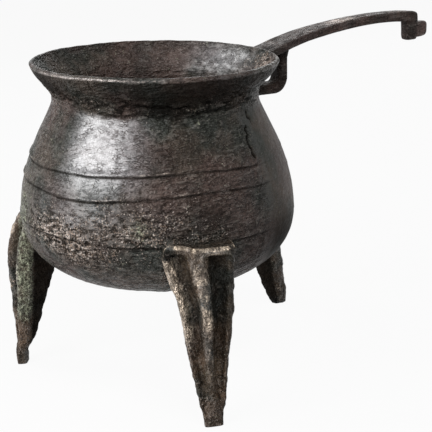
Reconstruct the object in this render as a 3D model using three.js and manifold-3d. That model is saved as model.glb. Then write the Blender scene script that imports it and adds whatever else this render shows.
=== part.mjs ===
// Cast-bronze tripod cauldron with an arched strap handle.
// Millimetres, +Z up. The handle points along +X, the three soles stand on Z = 0,
// and the origin lies on the floor under the middle of the object's bounding box.
import * as THREE from "three";
import { mergeVertices } from "three/addons/utils/BufferGeometryUtils.js";
import Module from "manifold-3d";

const wasm = await Module();
wasm.setup();

// Bowl, measured from its widest ring
const BELLY_RADIUS = 80.0;
const BELLY_HEIGHT = 96.8;
const BASE_DEPTH = 44.0;
const BASE_FLATNESS = 49.0;
const BASE_ROUNDNESS = 21.0;
const NECK_RISE = 65.4;
const NECK_RADIUS = 59.5;
const SHOULDER_FULLNESS = 33.0;
const NECK_TIGHTNESS = 6.5;
const RIM_RISE = 87.1;
const RIM_RADIUS = 71.0;
const FLARE_THROAT = 12.3;
const FLARE_SPREAD = 5.5;
const FLARE_RUN = 15.0;
const WALL = 3.2;
const LIP_WALL = 2.4;
const LIP_ROUNDING = 0.8;

// Raised fillets round the body
const FILLET_RISES = [0.1, 25.8, 37.4];
const FILLET_HEIGHT = 0.6;
const FILLET_HALF_WIDTH = 1.5;

// The bowl leans on its hand-made legs
const LEAN = THREE.MathUtils.degToRad(5.2);
const LEAN_AZIMUTH = THREE.MathUtils.degToRad(-24);

// Legs: sections across, measured outwards from the middle of a whole foot and up from its sole
const LEG_SOLE_DEPTH = 6.8;
const LEG_SOLE_WIDTH = 9.8;
const LEG_SOLE_EDGE = 0.9;
const LEG_ANKLE_HEIGHT = 20.0;
const LEG_ANKLE_WAIST = 2.0;
const LEG_LEDGE_DROP = 2.0;
const LEG_FULL_HEIGHT = BELLY_HEIGHT - LEG_LEDGE_DROP;
const LEG_FULL_WIDTH = 37.0;
const LEG_FLARE = 0.92;
const LEG_SHOULDER_DROP = 10.8;
const LEG_WEDGE_SLOPE = 0.41;
const LEG_BACK_WIDTH = 6.0;
const RIDGE_SETBACK = 8.0;
const RIDGE_SETBACK_AT_SOLE = 1.5;
const RIDGE_SETBACK_HEIGHT = 75.0;
const FLANK_DEPTH = 9.0;
const FLANK_DEPTH_AT_SOLE = 4.0;
const FLANK_DEPTH_HEIGHT = 50.0;
const GROOVE_DEPTH = 2.6;
const GROOVE_START = 30.0;
const LEG_LEDGE = 4.0;
const LEG_SHOULDER = 12.0;

// The feet's distances from the bowl's middle, and what sets the three hand-made legs apart
const LEFT_FOOT_RADIUS = 97.6;
const FRONT_FOOT_RADIUS = 98.1;
const FRONT_LEG_ASIDE = 4.2;
const BACK_FOOT_RADIUS = 105.4;
const BACK_LEG_ASIDE = -1.0;
const BACK_LEG_WORN = 14.0;
const LEGS = [
  {
    name: "leg_left", footRadius: LEFT_FOOT_RADIUS, azimuth: 140.9, turn: 6,
    aside: 0, breadth: 1, worn: 0, plainTop: LEG_SHOULDER,
  },
  {
    name: "leg_front", footRadius: FRONT_FOOT_RADIUS, azimuth: 253.6, turn: -9,
    aside: FRONT_LEG_ASIDE, breadth: 1, worn: 0, plainTop: LEG_LEDGE,
  },
  {
    name: "leg_back", footRadius: BACK_FOOT_RADIUS, azimuth: 20.3, turn: 0,
    aside: BACK_LEG_ASIDE, breadth: 0.83, worn: BACK_LEG_WORN, plainTop: LEG_SHOULDER,
  },
];

// Handle strap: its upper line in the plane of the handle, outwards from the rim and over it
const STRAP_LINE = [[-11, -3.1], [0, -0.2], [27, 7.8], [69, 14.2], [99, 15.3], [116, 14.1]];
const STRAP_ROOT_WIDTH = 22.5;
const STRAP_END_WIDTH = 8.5;
const STRAP_ROOT_THICKNESS = 4.4;
const STRAP_END_THICKNESS = 6.2;
const STRAP_DOME = 1.4;

// Hook at the strap's end, and the knob on it
const HOOK_REACH = 107.0;
const HOOK_THICKNESS = 10.8;
const HOOK_DROP = 18.6;
const HOOK_TOP_SLOPE = 1.5;
const HOOK_WIDTH = 8.4;
const HOOK_CORNER = 2.6;
const KNOB_LENGTH = 7.0;
const KNOB_HEIGHT = 10.4;
const KNOB_WIDTH = 7.6;
const KNOB_RISE = 1.0;
const KNOB_CORNER = 3.0;
const HOOK_EDGE = 1.4;

// Brace between the neck and the strap
const BRACE_REACH = 15.8;
const BRACE_THICKNESS = 6.8;
const BRACE_WIDTH = 12.0;
const BRACE_DROP = 5.6;
const BRACE_CORNER = 10.0;
const BRACE_EDGE = 1.6;

// Clearance between a member and what it is cast onto
const SEAT = 0.3;

// Distance within which two corners are one
const WELD = 1e-4;

const BOWL_SEGMENTS = 64;
const BOWL_STEPS = 9;
const LEG_STEPS = 18;
const STRAP_STEPS = 24;
const DOME_STEPS = 6;
const CORNER_STEPS = 3;
const BRACE_BEND_STEPS = 8;

const bronze = (name, color, roughness) =>
  new THREE.MeshStandardMaterial({ name, color, roughness, metalness: 0.75 });
const bowlBronze = bronze("bowl_bronze", 0x2e2b27, 0.45);
const legBronze = bronze("leg_bronze", 0x3a3a2e, 0.6);
const handleBronze = bronze("handle_bronze", 0x3b302a, 0.5);

const smooth = (t) => {
  const s = THREE.MathUtils.clamp(t, 0, 1);
  return s * s * (3 - 2 * s);
};

// Joining and cutting of closed solids

function toSolid(geometry) {
  const bare = geometry.clone();
  bare.deleteAttribute("normal");
  bare.deleteAttribute("uv");
  const merged = mergeVertices(bare, WELD);
  const corners = merged.index.array;
  const triangles = [];
  for (let i = 0; i < corners.length; i += 3) {
    const [a, b, c] = corners.slice(i, i + 3);
    if (a !== b && b !== c && c !== a) triangles.push(a, b, c);
  }
  return new wasm.Manifold(new wasm.Mesh({
    numProp: 3,
    vertProperties: new Float32Array(merged.attributes.position.array),
    triVerts: new Uint32Array(triangles),
  }));
}

function toGeometry(solid) {
  const mesh = solid.getMesh();
  const geometry = new THREE.BufferGeometry();
  geometry.setAttribute("position", new THREE.BufferAttribute(mesh.vertProperties, 3));
  geometry.setIndex(new THREE.BufferAttribute(mesh.triVerts, 1));
  geometry.computeVertexNormals();
  return geometry;
}

function cut(geometry, ...tools) {
  let solid = toSolid(geometry);
  for (const tool of tools) solid = solid.subtract(toSolid(tool));
  return toGeometry(solid);
}

// A closed body through a row of rings with equally many points, first ring below the last
function loft(rings) {
  const count = rings[0].length;
  const points = rings.flat();
  const middle = (ring) => ring
    .reduce((sum, point) => sum.add(point), new THREE.Vector3())
    .divideScalar(count);
  const first = points.length;
  points.push(middle(rings[0]), middle(rings[rings.length - 1]));
  const faces = [];
  for (let row = 0; row < rings.length - 1; row += 1) {
    for (let i = 0; i < count; i += 1) {
      const a = row * count + i;
      const b = row * count + (i + 1) % count;
      faces.push(a, b, b + count, a, b + count, a + count);
    }
  }
  const top = (rings.length - 1) * count;
  for (let i = 0; i < count; i += 1) {
    const next = (i + 1) % count;
    faces.push(first, next, i, first + 1, top + i, top + next);
  }
  const geometry = new THREE.BufferGeometry().setFromPoints(points);
  geometry.setIndex(faces);
  return geometry;
}

// Bowl

function outerLine() {
  const path = new THREE.Path();
  path.moveTo(0, -BASE_DEPTH);
  path.bezierCurveTo(
    BASE_FLATNESS, -BASE_DEPTH,
    BELLY_RADIUS, -BASE_ROUNDNESS,
    BELLY_RADIUS, 0,
  );
  path.bezierCurveTo(
    BELLY_RADIUS, SHOULDER_FULLNESS,
    NECK_RADIUS, NECK_RISE - NECK_TIGHTNESS,
    NECK_RADIUS, NECK_RISE,
  );
  path.bezierCurveTo(
    NECK_RADIUS, NECK_RISE + FLARE_THROAT,
    RIM_RADIUS - FLARE_SPREAD, RIM_RISE - FLARE_RUN,
    RIM_RADIUS, RIM_RISE,
  );
  return path;
}

// Points of the outer line, kept closer together on the fillets
function outerPoints() {
  const plain = outerLine().getPoints(BOWL_STEPS);
  const fine = outerLine().getPoints(BOWL_STEPS * 10);
  const radiusAt = (rise) => {
    const above = fine.findIndex((point, i) => i > 0 && point.y >= rise);
    const low = fine[above - 1];
    const high = fine[above];
    return THREE.MathUtils.mapLinear(rise, low.y, high.y, low.x, high.x);
  };
  const clearOfFillets = (point) =>
    FILLET_RISES.every((rise) => Math.abs(point.y - rise) > FILLET_HALF_WIDTH * 1.3);
  const points = plain.filter(clearOfFillets);
  for (const rise of FILLET_RISES) {
    for (const step of [-1, -0.5, 0, 0.5, 1]) {
      const y = rise + step * FILLET_HALF_WIDTH;
      const lift = FILLET_HEIGHT * (1 + Math.cos(Math.PI * step)) / 2;
      points.push(new THREE.Vector2(radiusAt(y) + lift, y));
    }
  }
  return points.sort((a, b) => a.y - b.y || a.x - b.x);
}

// The outer line moved inwards or outwards along its normals
function offsetLine(points, distanceAt) {
  return points.map((point, i) => {
    const before = points[Math.max(i - 1, 0)];
    const after = points[Math.min(i + 1, points.length - 1)];
    const along = after.clone().sub(before).normalize();
    const distance = distanceAt(point);
    const moved = new THREE.Vector2(point.x + along.y * distance, point.y - along.x * distance);
    return i === 0 ? moved.setX(0) : moved;
  });
}

function bowlGeometry() {
  const outer = outerPoints();
  const wallAt = (point) => -THREE.MathUtils.mapLinear(
    smooth((point.y - NECK_RISE) / (RIM_RISE - NECK_RISE)), 0, 1, WALL, LIP_WALL,
  );
  const inner = offsetLine(outerLine().getPoints(BOWL_STEPS - 2), wallAt);
  inner.pop();
  const lip = [
    new THREE.Vector2(RIM_RADIUS - LIP_ROUNDING * 0.3, RIM_RISE + LIP_ROUNDING * 0.7),
    new THREE.Vector2(RIM_RADIUS - LIP_WALL / 2, RIM_RISE + LIP_ROUNDING),
    new THREE.Vector2(RIM_RADIUS - LIP_WALL + LIP_ROUNDING * 0.3, RIM_RISE + LIP_ROUNDING * 0.7),
  ];
  const profile = [...outer, ...lip, ...inner.reverse()];
  return standUpright(new THREE.LatheGeometry(profile, BOWL_SEGMENTS));
}

// A lathe turns about Y; the bowl's axis is Z
function standUpright(geometry) {
  return geometry.rotateX(Math.PI / 2);
}

// Everything inside the bowl's outer face, and above its rim, that no member may enter
function bowlEnvelope() {
  const outer = offsetLine(outerPoints(), () => SEAT);
  const rim = outer[outer.length - 1];
  const roof = RIM_RISE + RIM_RADIUS;
  const profile = [...outer, new THREE.Vector2(rim.x, roof), new THREE.Vector2(0, roof)];
  return standUpright(new THREE.LatheGeometry(profile, BOWL_SEGMENTS));
}

// Legs

const legLines = {
  crest: (z) => LEG_SOLE_DEPTH / 2
    - LEG_ANKLE_WAIST * smooth(z / LEG_ANKLE_HEIGHT)
    - LEG_SHOULDER_DROP * (z / LEG_FULL_HEIGHT) ** 6,
  setback: (z) => THREE.MathUtils.lerp(
    RIDGE_SETBACK_AT_SOLE, RIDGE_SETBACK, smooth(z / RIDGE_SETBACK_HEIGHT),
  ),
  flank: (z) => THREE.MathUtils.lerp(
    FLANK_DEPTH_AT_SOLE, FLANK_DEPTH, smooth(z / FLANK_DEPTH_HEIGHT),
  ),
  inner: (z) => -LEG_SOLE_DEPTH / 2 - LEG_WEDGE_SLOPE * z,
  half: (z) => THREE.MathUtils.lerp(
    LEG_SOLE_WIDTH, LEG_FULL_WIDTH, (z / LEG_FULL_HEIGHT) ** LEG_FLARE,
  ) / 2,
};

// One side of a section: half the middle rib, the groove, the side rib, its flank and the wedge behind
function ribbedSide(z, grooved) {
  const crest = legLines.crest(z);
  const ridge = crest - legLines.setback(z);
  const flank = ridge - legLines.flank(z);
  const inner = legLines.inner(z);
  const half = legLines.half(z);
  const floor = ridge - GROOVE_DEPTH * smooth(z / GROOVE_START);
  const { lerp } = THREE.MathUtils;
  const inGroove = (share, low) => [lerp(lerp(crest, ridge, share), low, grooved), half * share];
  return [
    [crest, half * 0.07],
    inGroove(0.17, lerp(crest, floor, 0.2)),
    inGroove(0.28, lerp(crest, floor, 0.75)),
    inGroove(0.42, floor),
    inGroove(0.6, floor),
    inGroove(0.74, lerp(floor, ridge, 0.8)),
    [ridge, half * 0.87],
    [lerp(ridge, flank, 0.2), half],
    [flank, half * 0.97],
    [lerp(flank, inner, 0.2), half * 0.72],
    [inner, Math.min(LEG_BACK_WIDTH, half) / 2],
  ];
}

// The same side at the foot, where the ribs die into a blunt rounded block
function footSide(count) {
  return Array.from({ length: count }, (_, i) => {
    const angle = (i + 0.5) / count * Math.PI;
    const blunt = (value) => Math.sign(value) * Math.sqrt(Math.abs(value));
    return [blunt(Math.cos(angle)) * LEG_SOLE_DEPTH / 2, blunt(Math.sin(angle)) * LEG_SOLE_WIDTH / 2];
  });
}

function legSection(z, grooved) {
  const ribbed = ribbedSide(z, grooved);
  const foot = footSide(ribbed.length);
  const rise = smooth(z / LEG_ANKLE_HEIGHT);
  const side = ribbed.map(([u, v], i) =>
    [THREE.MathUtils.lerp(foot[i][0], u, rise), THREE.MathUtils.lerp(foot[i][1], v, rise)]);
  return [...side, ...side.toReversed().map(([u, v]) => [u, -v])];
}

// A leg stands level on its sole and ends on a ledge that runs along under the lowest fillet
function legGeometry(leg, ledgeAt, envelope) {
  const azimuth = THREE.MathUtils.degToRad(leg.azimuth);
  const facing = azimuth + THREE.MathUtils.degToRad(leg.turn);
  const outwards = new THREE.Vector3(Math.cos(facing), Math.sin(facing), 0);
  const aside = new THREE.Vector3(-Math.sin(facing), Math.cos(facing), 0);
  const foot = new THREE.Vector3(Math.cos(azimuth), Math.sin(azimuth), 0).multiplyScalar(leg.footRadius);
  const height = ledgeAt(foot);
  const ringAt = (rise, grooved, inset = 0) => {
    const z = leg.worn + rise;
    const shift = leg.aside * smooth(z / LEG_FULL_HEIGHT);
    return legSection(z, grooved).map(([u, v]) => {
      const drawnIn = 1 - inset / Math.hypot(u, v);
      const point = foot.clone()
        .addScaledVector(outwards, u * drawnIn)
        .addScaledVector(aside, v * leg.breadth * drawnIn + shift);
      return point.setZ(rise * THREE.MathUtils.lerp(1, ledgeAt(point) / height, rise / height));
    });
  };
  const rings = [ringAt(0, 1, LEG_SOLE_EDGE)];
  const grooveTop = height - leg.plainTop;
  for (let step = 0; step <= LEG_STEPS; step += 1) {
    rings.push(ringAt(THREE.MathUtils.lerp(LEG_SOLE_EDGE, grooveTop, step / LEG_STEPS), 1));
  }
  rings.push(ringAt(grooveTop + LEG_LEDGE / 4, 0));
  if (leg.plainTop > LEG_LEDGE) rings.push(ringAt(height - leg.plainTop / 2, 0));
  rings.push(ringAt(height, 0));
  return cut(loft(rings), envelope);
}

// Handle

const strapCurve = new THREE.CatmullRomCurve3(
  STRAP_LINE.map(([beyond, over]) =>
    new THREE.Vector3(RIM_RADIUS + beyond, 0, RIM_RISE + over)), false, "centripetal",
);

// The strap at a share of its length: its upper line, the way down from it, and its size there
function strapAt(t) {
  const top = strapCurve.getPointAt(t);
  const along = strapCurve.getTangentAt(t);
  return {
    top,
    down: new THREE.Vector3(along.z, 0, -along.x),
    half: THREE.MathUtils.lerp(STRAP_ROOT_WIDTH, STRAP_END_WIDTH, smooth(t)) / 2,
    thickness: THREE.MathUtils.lerp(STRAP_ROOT_THICKNESS, STRAP_END_THICKNESS, t),
  };
}

// A domed upper face, straight edges and a flat underside
function strapRing(t) {
  const { top, down, half, thickness } = strapAt(t);
  const section = [];
  for (let i = 0; i <= DOME_STEPS; i += 1) {
    const across = 1 - 2 * i / DOME_STEPS;
    section.push([across * half, STRAP_DOME * across ** 2]);
  }
  const edge = thickness / 4;
  section.push([-half, thickness - edge], [-half + edge, thickness]);
  section.push([half - edge, thickness], [half, thickness - edge]);
  return section.map(([across, depth]) =>
    top.clone().addScaledVector(down, depth).setY(across));
}

function strapGeometry(envelope) {
  const rings = [];
  for (let i = 0; i <= STRAP_STEPS; i += 1) rings.push(strapRing(i / STRAP_STEPS));
  const beyond = slab(hookLeft - SEAT, hookLeft * 2, RIM_RADIUS, RIM_RISE);
  return cut(loft(rings), envelope, beyond);
}

// A block from one reach to another, as wide and as high as asked for, about a rise
function slab(from, to, width, rise) {
  const block = new THREE.BoxGeometry(to - from, width, rise * 2);
  return block.translate((from + to) / 2, 0, rise);
}

// A rounded rectangle about the origin, drawn in smaller by the inset
function roundedRectangle(length, width, corner, inset) {
  const points = [];
  for (let quarter = 0; quarter < 4; quarter += 1) {
    const x = (quarter === 0 || quarter === 3 ? 1 : -1) * (length / 2 - corner);
    const y = (quarter < 2 ? 1 : -1) * (width / 2 - corner);
    for (let step = 0; step <= CORNER_STEPS; step += 1) {
      const angle = (quarter + step / CORNER_STEPS) * Math.PI / 2;
      const radius = corner - inset;
      points.push([x + radius * Math.cos(angle), y + radius * Math.sin(angle)]);
    }
  }
  return points;
}

// An upright block on Z = 0 with rounded corners and edges, its top falling by the slope along X
function roundedBlock(length, width, height, corner, edge, slope) {
  const levels = [];
  for (let step = 0; step <= CORNER_STEPS; step += 1) {
    const angle = step / CORNER_STEPS * Math.PI / 2;
    levels.push([edge * (1 - Math.sin(angle)), edge * (1 - Math.cos(angle))]);
  }
  const upper = levels.map(([inset, z]) => [inset, height - z]).reverse();
  return loft([...levels, ...upper].map(([inset, z]) =>
    roundedRectangle(length, width, corner, inset).map(([x, y]) => {
      const fall = slope * (x / length + 0.5) * z / height;
      return new THREE.Vector3(x, y, z - fall);
    })));
}

const hookLeft = RIM_RADIUS + HOOK_REACH;
const hookRight = hookLeft + HOOK_THICKNESS;
const hookTop = strapCurve.getPointAt(1).z + HOOK_TOP_SLOPE;
const hookBottom = hookTop - HOOK_DROP;

function hookGeometry() {
  const block = roundedBlock(
    HOOK_THICKNESS, HOOK_WIDTH, HOOK_DROP, HOOK_CORNER, HOOK_EDGE, HOOK_TOP_SLOPE,
  );
  return block.translate(hookLeft + HOOK_THICKNESS / 2, 0, hookBottom);
}

// The knob lies along X, its rounded end outwards
function knobGeometry() {
  const block = roundedBlock(KNOB_HEIGHT, KNOB_WIDTH, KNOB_LENGTH, KNOB_CORNER, HOOK_EDGE, 0);
  block.rotateY(Math.PI / 2);
  return block.translate(hookRight + SEAT, 0, hookBottom + KNOB_RISE + KNOB_HEIGHT / 2);
}

// The brace is one flat bar, bent up at a rounded corner
function braceGeometry(envelope) {
  const bend = BRACE_CORNER - BRACE_THICKNESS / 2;
  const centre = new THREE.Vector3(
    RIM_RADIUS + BRACE_REACH - BRACE_CORNER, 0, NECK_RISE - BRACE_DROP + BRACE_CORNER,
  );
  const section = roundedRectangle(BRACE_THICKNESS, BRACE_WIDTH, BRACE_EDGE, 0);
  const ringAt = (middle, angle) => section.map(([out, across]) =>
    middle.clone().add(new THREE.Vector3(out * Math.sin(angle), across, -out * Math.cos(angle))));
  const start = new THREE.Vector3(NECK_RADIUS - WALL, 0, centre.z - bend);
  const end = new THREE.Vector3(centre.x + bend, 0, RIM_RISE + STRAP_END_THICKNESS * 2);
  const rings = [ringAt(start, 0)];
  for (let step = 0; step <= BRACE_BEND_STEPS; step += 1) {
    const angle = step / BRACE_BEND_STEPS * Math.PI / 2;
    const middle = centre.clone();
    middle.x += bend * Math.sin(angle);
    middle.z -= bend * Math.cos(angle);
    rings.push(ringAt(middle, angle));
  }
  rings.push(ringAt(end, Math.PI / 2));
  return cut(loft(rings), envelope, strapShadow());
}

// The strap and the space over it, widened by the seat
function strapShadow() {
  const rings = [];
  for (let i = 0; i <= STRAP_STEPS; i += 1) {
    const { top, down, thickness } = strapAt(i / STRAP_STEPS);
    const under = top.clone().addScaledVector(down, thickness + SEAT);
    const corner = (across, rise) => new THREE.Vector3(under.x, across, under.z + rise);
    rings.push([
      corner(BRACE_WIDTH, RIM_RISE), corner(-BRACE_WIDTH, RIM_RISE),
      corner(-BRACE_WIDTH, 0), corner(BRACE_WIDTH, 0),
    ]);
  }
  return loft(rings);
}

// Assembly: the cast bowl and handle lean together, the legs stand under them

const casting = new THREE.Group();
casting.position.set(0, 0, BELLY_HEIGHT);
casting.quaternion.setFromAxisAngle(
  new THREE.Vector3(-Math.sin(LEAN_AZIMUTH), Math.cos(LEAN_AZIMUTH), 0), LEAN,
);
casting.updateMatrixWorld(true);

function addMesh(group, name, geometry, material) {
  const mesh = new THREE.Mesh(geometry, material);
  mesh.name = name;
  group.add(mesh);
  return mesh;
}

const envelope = bowlEnvelope();
addMesh(casting, "bowl", bowlGeometry(), bowlBronze);
addMesh(casting, "handle_strap", strapGeometry(envelope), handleBronze);
addMesh(casting, "handle_brace", braceGeometry(envelope), handleBronze);
addMesh(casting, "handle_hook", hookGeometry(), handleBronze);
addMesh(casting, "handle_knob", knobGeometry(), handleBronze);

// Height of the ledges over the floor, on the leaning level under the lowest fillet
const bowlAxis = new THREE.Vector3(0, 0, 1).applyQuaternion(casting.quaternion);
const ledgeAt = (point) =>
  BELLY_HEIGHT - (LEG_LEDGE_DROP + bowlAxis.x * point.x + bowlAxis.y * point.y) / bowlAxis.z;

const legs = new THREE.Group();
const leaningEnvelope = envelope.clone().applyMatrix4(casting.matrixWorld);
for (const leg of LEGS) {
  addMesh(legs, leg.name, legGeometry(leg, ledgeAt, leaningEnvelope), legBronze);
}

const cauldron = new THREE.Group();
cauldron.add(casting, legs);
const box = new THREE.Box3().setFromObject(cauldron, true);
const middle = box.getCenter(new THREE.Vector3());
cauldron.position.set(-middle.x, -middle.y, 0);
cauldron.updateMatrixWorld(true);

export default cauldron;
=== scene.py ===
"""Looks of a small cast-bronze cauldron on three ribbed legs, with an arched strap handle.

Sizes in the classes are millimetres, as a founder would note them. Meshes are
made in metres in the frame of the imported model: +X runs along the handle, +Z
up, and the soles stand on Z = 0.
"""

from __future__ import annotations

import logging
from dataclasses import dataclass
from enum import Enum
from functools import cached_property

import bpy
import numpy as np
from mathutils import Matrix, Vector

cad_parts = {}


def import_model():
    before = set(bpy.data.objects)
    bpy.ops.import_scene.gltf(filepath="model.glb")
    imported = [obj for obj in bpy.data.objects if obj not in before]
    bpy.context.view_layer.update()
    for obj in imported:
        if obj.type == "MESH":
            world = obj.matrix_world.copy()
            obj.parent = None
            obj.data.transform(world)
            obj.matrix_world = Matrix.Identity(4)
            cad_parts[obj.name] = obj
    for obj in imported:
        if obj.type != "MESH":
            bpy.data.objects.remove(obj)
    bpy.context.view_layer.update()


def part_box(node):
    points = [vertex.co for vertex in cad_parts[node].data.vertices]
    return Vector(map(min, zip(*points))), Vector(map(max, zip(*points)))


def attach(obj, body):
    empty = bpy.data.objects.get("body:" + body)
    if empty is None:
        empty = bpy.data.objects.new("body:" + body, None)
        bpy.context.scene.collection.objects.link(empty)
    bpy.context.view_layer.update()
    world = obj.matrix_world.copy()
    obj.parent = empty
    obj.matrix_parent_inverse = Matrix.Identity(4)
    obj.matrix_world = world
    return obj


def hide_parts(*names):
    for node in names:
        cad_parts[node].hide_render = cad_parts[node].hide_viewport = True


Array = np.ndarray
Values = np.ndarray | float
Triple = tuple[float, float, float]
Line = tuple[tuple[float, float], ...]

MM = 0.001
ROOT = "root"
# How many slopes or spots a random relief draws from.
TABLE = 256
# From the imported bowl's low corner to the belly's middle, along x and y, in millimetres.
BOWL_REACH = (80.32, 80.54)
# What the legs' reliefs are shifted by against each other, in millimetres.
LEG_SHIFT = 311.0
LOG = logging.getLogger("cauldron")


# Small tools for shapes


def smooth(values: Values) -> Array:
    """Ease from 0 to 1: 3 t^2 - 2 t^3, with t held between 0 and 1."""
    t = np.clip(values, 0.0, 1.0)
    return t * t * (3.0 - 2.0 * t)


def mixed(a: Values, b: Values, share: Values) -> Array:
    """Straight blend: a at share 0, b at share 1."""
    return a + (b - a) * share


def bell(away: Array, width: Values) -> Array:
    """1 in the middle, fading to both sides: exp(-(away / width)^2)."""
    return np.exp(-((away / width) ** 2))


def band(values: Array, low: Values, rising: float, high: Values, falling: float) -> Array:
    """Ease in over `rising` from low upwards, and out over `falling` below high."""
    return smooth((values - low) / rising) * smooth((high - values) / falling)


def turned_from(azimuth: Array, middle: float) -> Array:
    """Angle from a direction, in degrees between -180 and 180."""
    return (azimuth - middle + 180.0) % 360.0 - 180.0


def run_along(line: Array) -> Array:
    """Distance of each point of a line from its start, measured along it."""
    return np.append(0.0, np.cumsum(np.linalg.norm(np.diff(line, axis=0), axis=1)))


def picked(line: Array, run: Array, at: Array) -> Array:
    """Points (rows, 2) of a line at given distances, straight between its own points."""
    return np.stack([np.interp(at, run, line[:, 0]), np.interp(at, run, line[:, 1])], axis=-1)


def drawn_lot(spot: Array, order: Array) -> Array:
    """The lot that a lattice spot draws from the shuffled order, the same on every run."""
    x, y, z = np.moveaxis(spot % TABLE, -1, 0)
    return order[(order[(order[x] + y) % TABLE] + z) % TABLE]


@dataclass(frozen=True)
class Grain:
    """Random relief of the mould's sand, the same on every run.

    Attributes:
        size: Width of its largest lumps in millimetres.
        octaves: How often the lumps are halved in size and added again.
        gain: Height of each finer layer against the one before.
        seed: Picks another relief of the same kind.
    """

    size: float
    octaves: int = 3
    gain: float = 0.5
    seed: int = 0

    def at(self, points: Array) -> Array:
        """Relief at points, about -1 to 1.

        Each corner of a lattice cube has a random slope. A point takes the
        heights of the eight slopes around it, blended by 6t^5 - 15t^4 + 10t^3
        along each axis, and the layers are summed and divided by their gains.

        Args:
            points: Array of shape (..., 3) in millimetres.

        Returns:
            Array of shape (...).
        """
        draws = np.random.default_rng(self.seed)
        order = draws.permutation(TABLE)
        slopes = draws.normal(size=(TABLE, 3))
        slopes /= np.linalg.norm(slopes, axis=1, keepdims=True)
        total = np.zeros(points.shape[:-1])
        height, weight, step = 1.0, 0.0, self.size
        for _ in range(self.octaves):
            total += height * self._layer(points / step, order, slopes)
            weight += height
            height *= self.gain
            step /= 2.0
        return total * 1.6 / weight

    @staticmethod
    def _layer(spots: Array, order: Array, slopes: Array) -> Array:
        """One layer: the blended heights of the slopes at a cube's eight corners.

        Args:
            spots: Array (..., 3), in widths of a cube.
            order: The shuffled order of the slopes.
            slopes: Unit slopes, (TABLE, 3).

        Returns:
            Array (...).
        """
        cell = np.floor(spots).astype(np.int64)
        inside = spots - cell
        ease = inside**3 * (inside * (inside * 6.0 - 15.0) + 10.0)
        total = np.zeros(spots.shape[:-1])
        for corner in np.ndindex(2, 2, 2):
            shift = np.array(corner)
            height = np.sum(slopes[drawn_lot(cell + shift, order)] * (inside - shift), axis=-1)
            total += height * np.prod(np.where(shift == 1, ease, 1.0 - ease), axis=-1)
        return total


@dataclass(frozen=True)
class Pits:
    """Round gas holes in a cast skin.

    Attributes:
        spacing: Side of the cube in which one pit is drawn, in millimetres.
        radius: Radius of a pit in millimetres.
        seed: Picks another scatter.
    """

    spacing: float
    radius: float
    seed: int = 0

    def at(self, points: Array) -> Array:
        """Depth of the pits at points, 0 on whole skin and 1 at a pit's middle.

        Each cube of space has one random spot. The depth is the eased share
        of the radius that is left between a point and the nearest spot.

        Args:
            points: Array of shape (..., 3) in millimetres.

        Returns:
            Array of shape (...).
        """
        draws = np.random.default_rng(self.seed)
        order = draws.permutation(TABLE)
        spots = draws.random((TABLE, 3))
        cell = np.floor(points / self.spacing).astype(np.int64)
        inside = points / self.spacing - cell
        nearest = np.full(points.shape[:-1], np.inf)
        for corner in np.ndindex(3, 3, 3):
            shift = np.array(corner) - 1
            gap = np.linalg.norm(inside - shift - spots[drawn_lot(cell + shift, order)], axis=-1)
            nearest = np.minimum(nearest, gap)
        return smooth(1.0 - nearest * self.spacing / self.radius)


def surface_normals(rings: Array) -> Array:
    """Unit normals of a grid of rings.

    The step round the ring, crossed with the step from ring to ring, both
    taken between the neighbours on either side.

    Args:
        rings: Array of shape (rows, columns, 3), columns closed on themselves.

    Returns:
        Array of the same shape.
    """
    around = np.roll(rings, -1, axis=1) - np.roll(rings, 1, axis=1)
    along = np.gradient(rings, axis=0)
    normal = np.cross(around, along)
    return normal / np.maximum(np.linalg.norm(normal, axis=-1, keepdims=True), 1e-9)


def superellipse(columns: int, power: float) -> Array:
    """Unit outline |x|^p + |y|^p = 1, counter-clockwise.

    Args:
        columns: How many points it gets.
        power: Its p: 2 for a circle, more for a squarer outline.

    Returns:
        Array (columns, 2).
    """
    angle = np.arange(columns) * 2.0 * np.pi / columns
    flat = np.stack([np.cos(angle), np.sin(angle)], axis=-1)
    return np.sign(flat) * np.abs(flat) ** (2.0 / power)


def blended_outline(corners: int, columns: int) -> Array:
    """Weights that turn a row of corners into a closed outline with softened corners.

    Half of each weight is the straight line between two corners, the other
    half the cubic B-spline that they steer.

    Args:
        corners: How many corners steer the outline.
        columns: How many points it gets.

    Returns:
        Array of shape (columns, corners), each row adding up to 1.
    """
    place = np.arange(columns) * corners / columns
    first = np.floor(place).astype(int)
    t = place - first
    spline = [(1 - t) ** 3, 3 * t**3 - 6 * t**2 + 4, -3 * t**3 + 3 * t**2 + 3 * t + 1, t**3]
    weights = np.zeros((columns, corners))
    rows = np.arange(columns)
    for offset, share in enumerate(spline, start=-1):
        weights[rows, (first + offset) % corners] += share / 12.0
    weights[rows, first % corners] += (1.0 - t) / 2.0
    weights[rows, (first + 1) % corners] += t / 2.0
    return weights


class Mark(Enum):
    """What a patch of the surface has been through, or where shade is painted on it, as a named attribute
    of its mesh.
    """

    WORN = "worn"
    CRUST = "crust"
    GREEN = "green"
    # Painted shade: grooves, creases, cracks, inner faces and undersides darkened in colour, and a few
    # darker patches.
    DARK = "dark"
    WAX = "wax"
    SLEEK = "sleek"


Marks = dict[Mark, Array]


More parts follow.
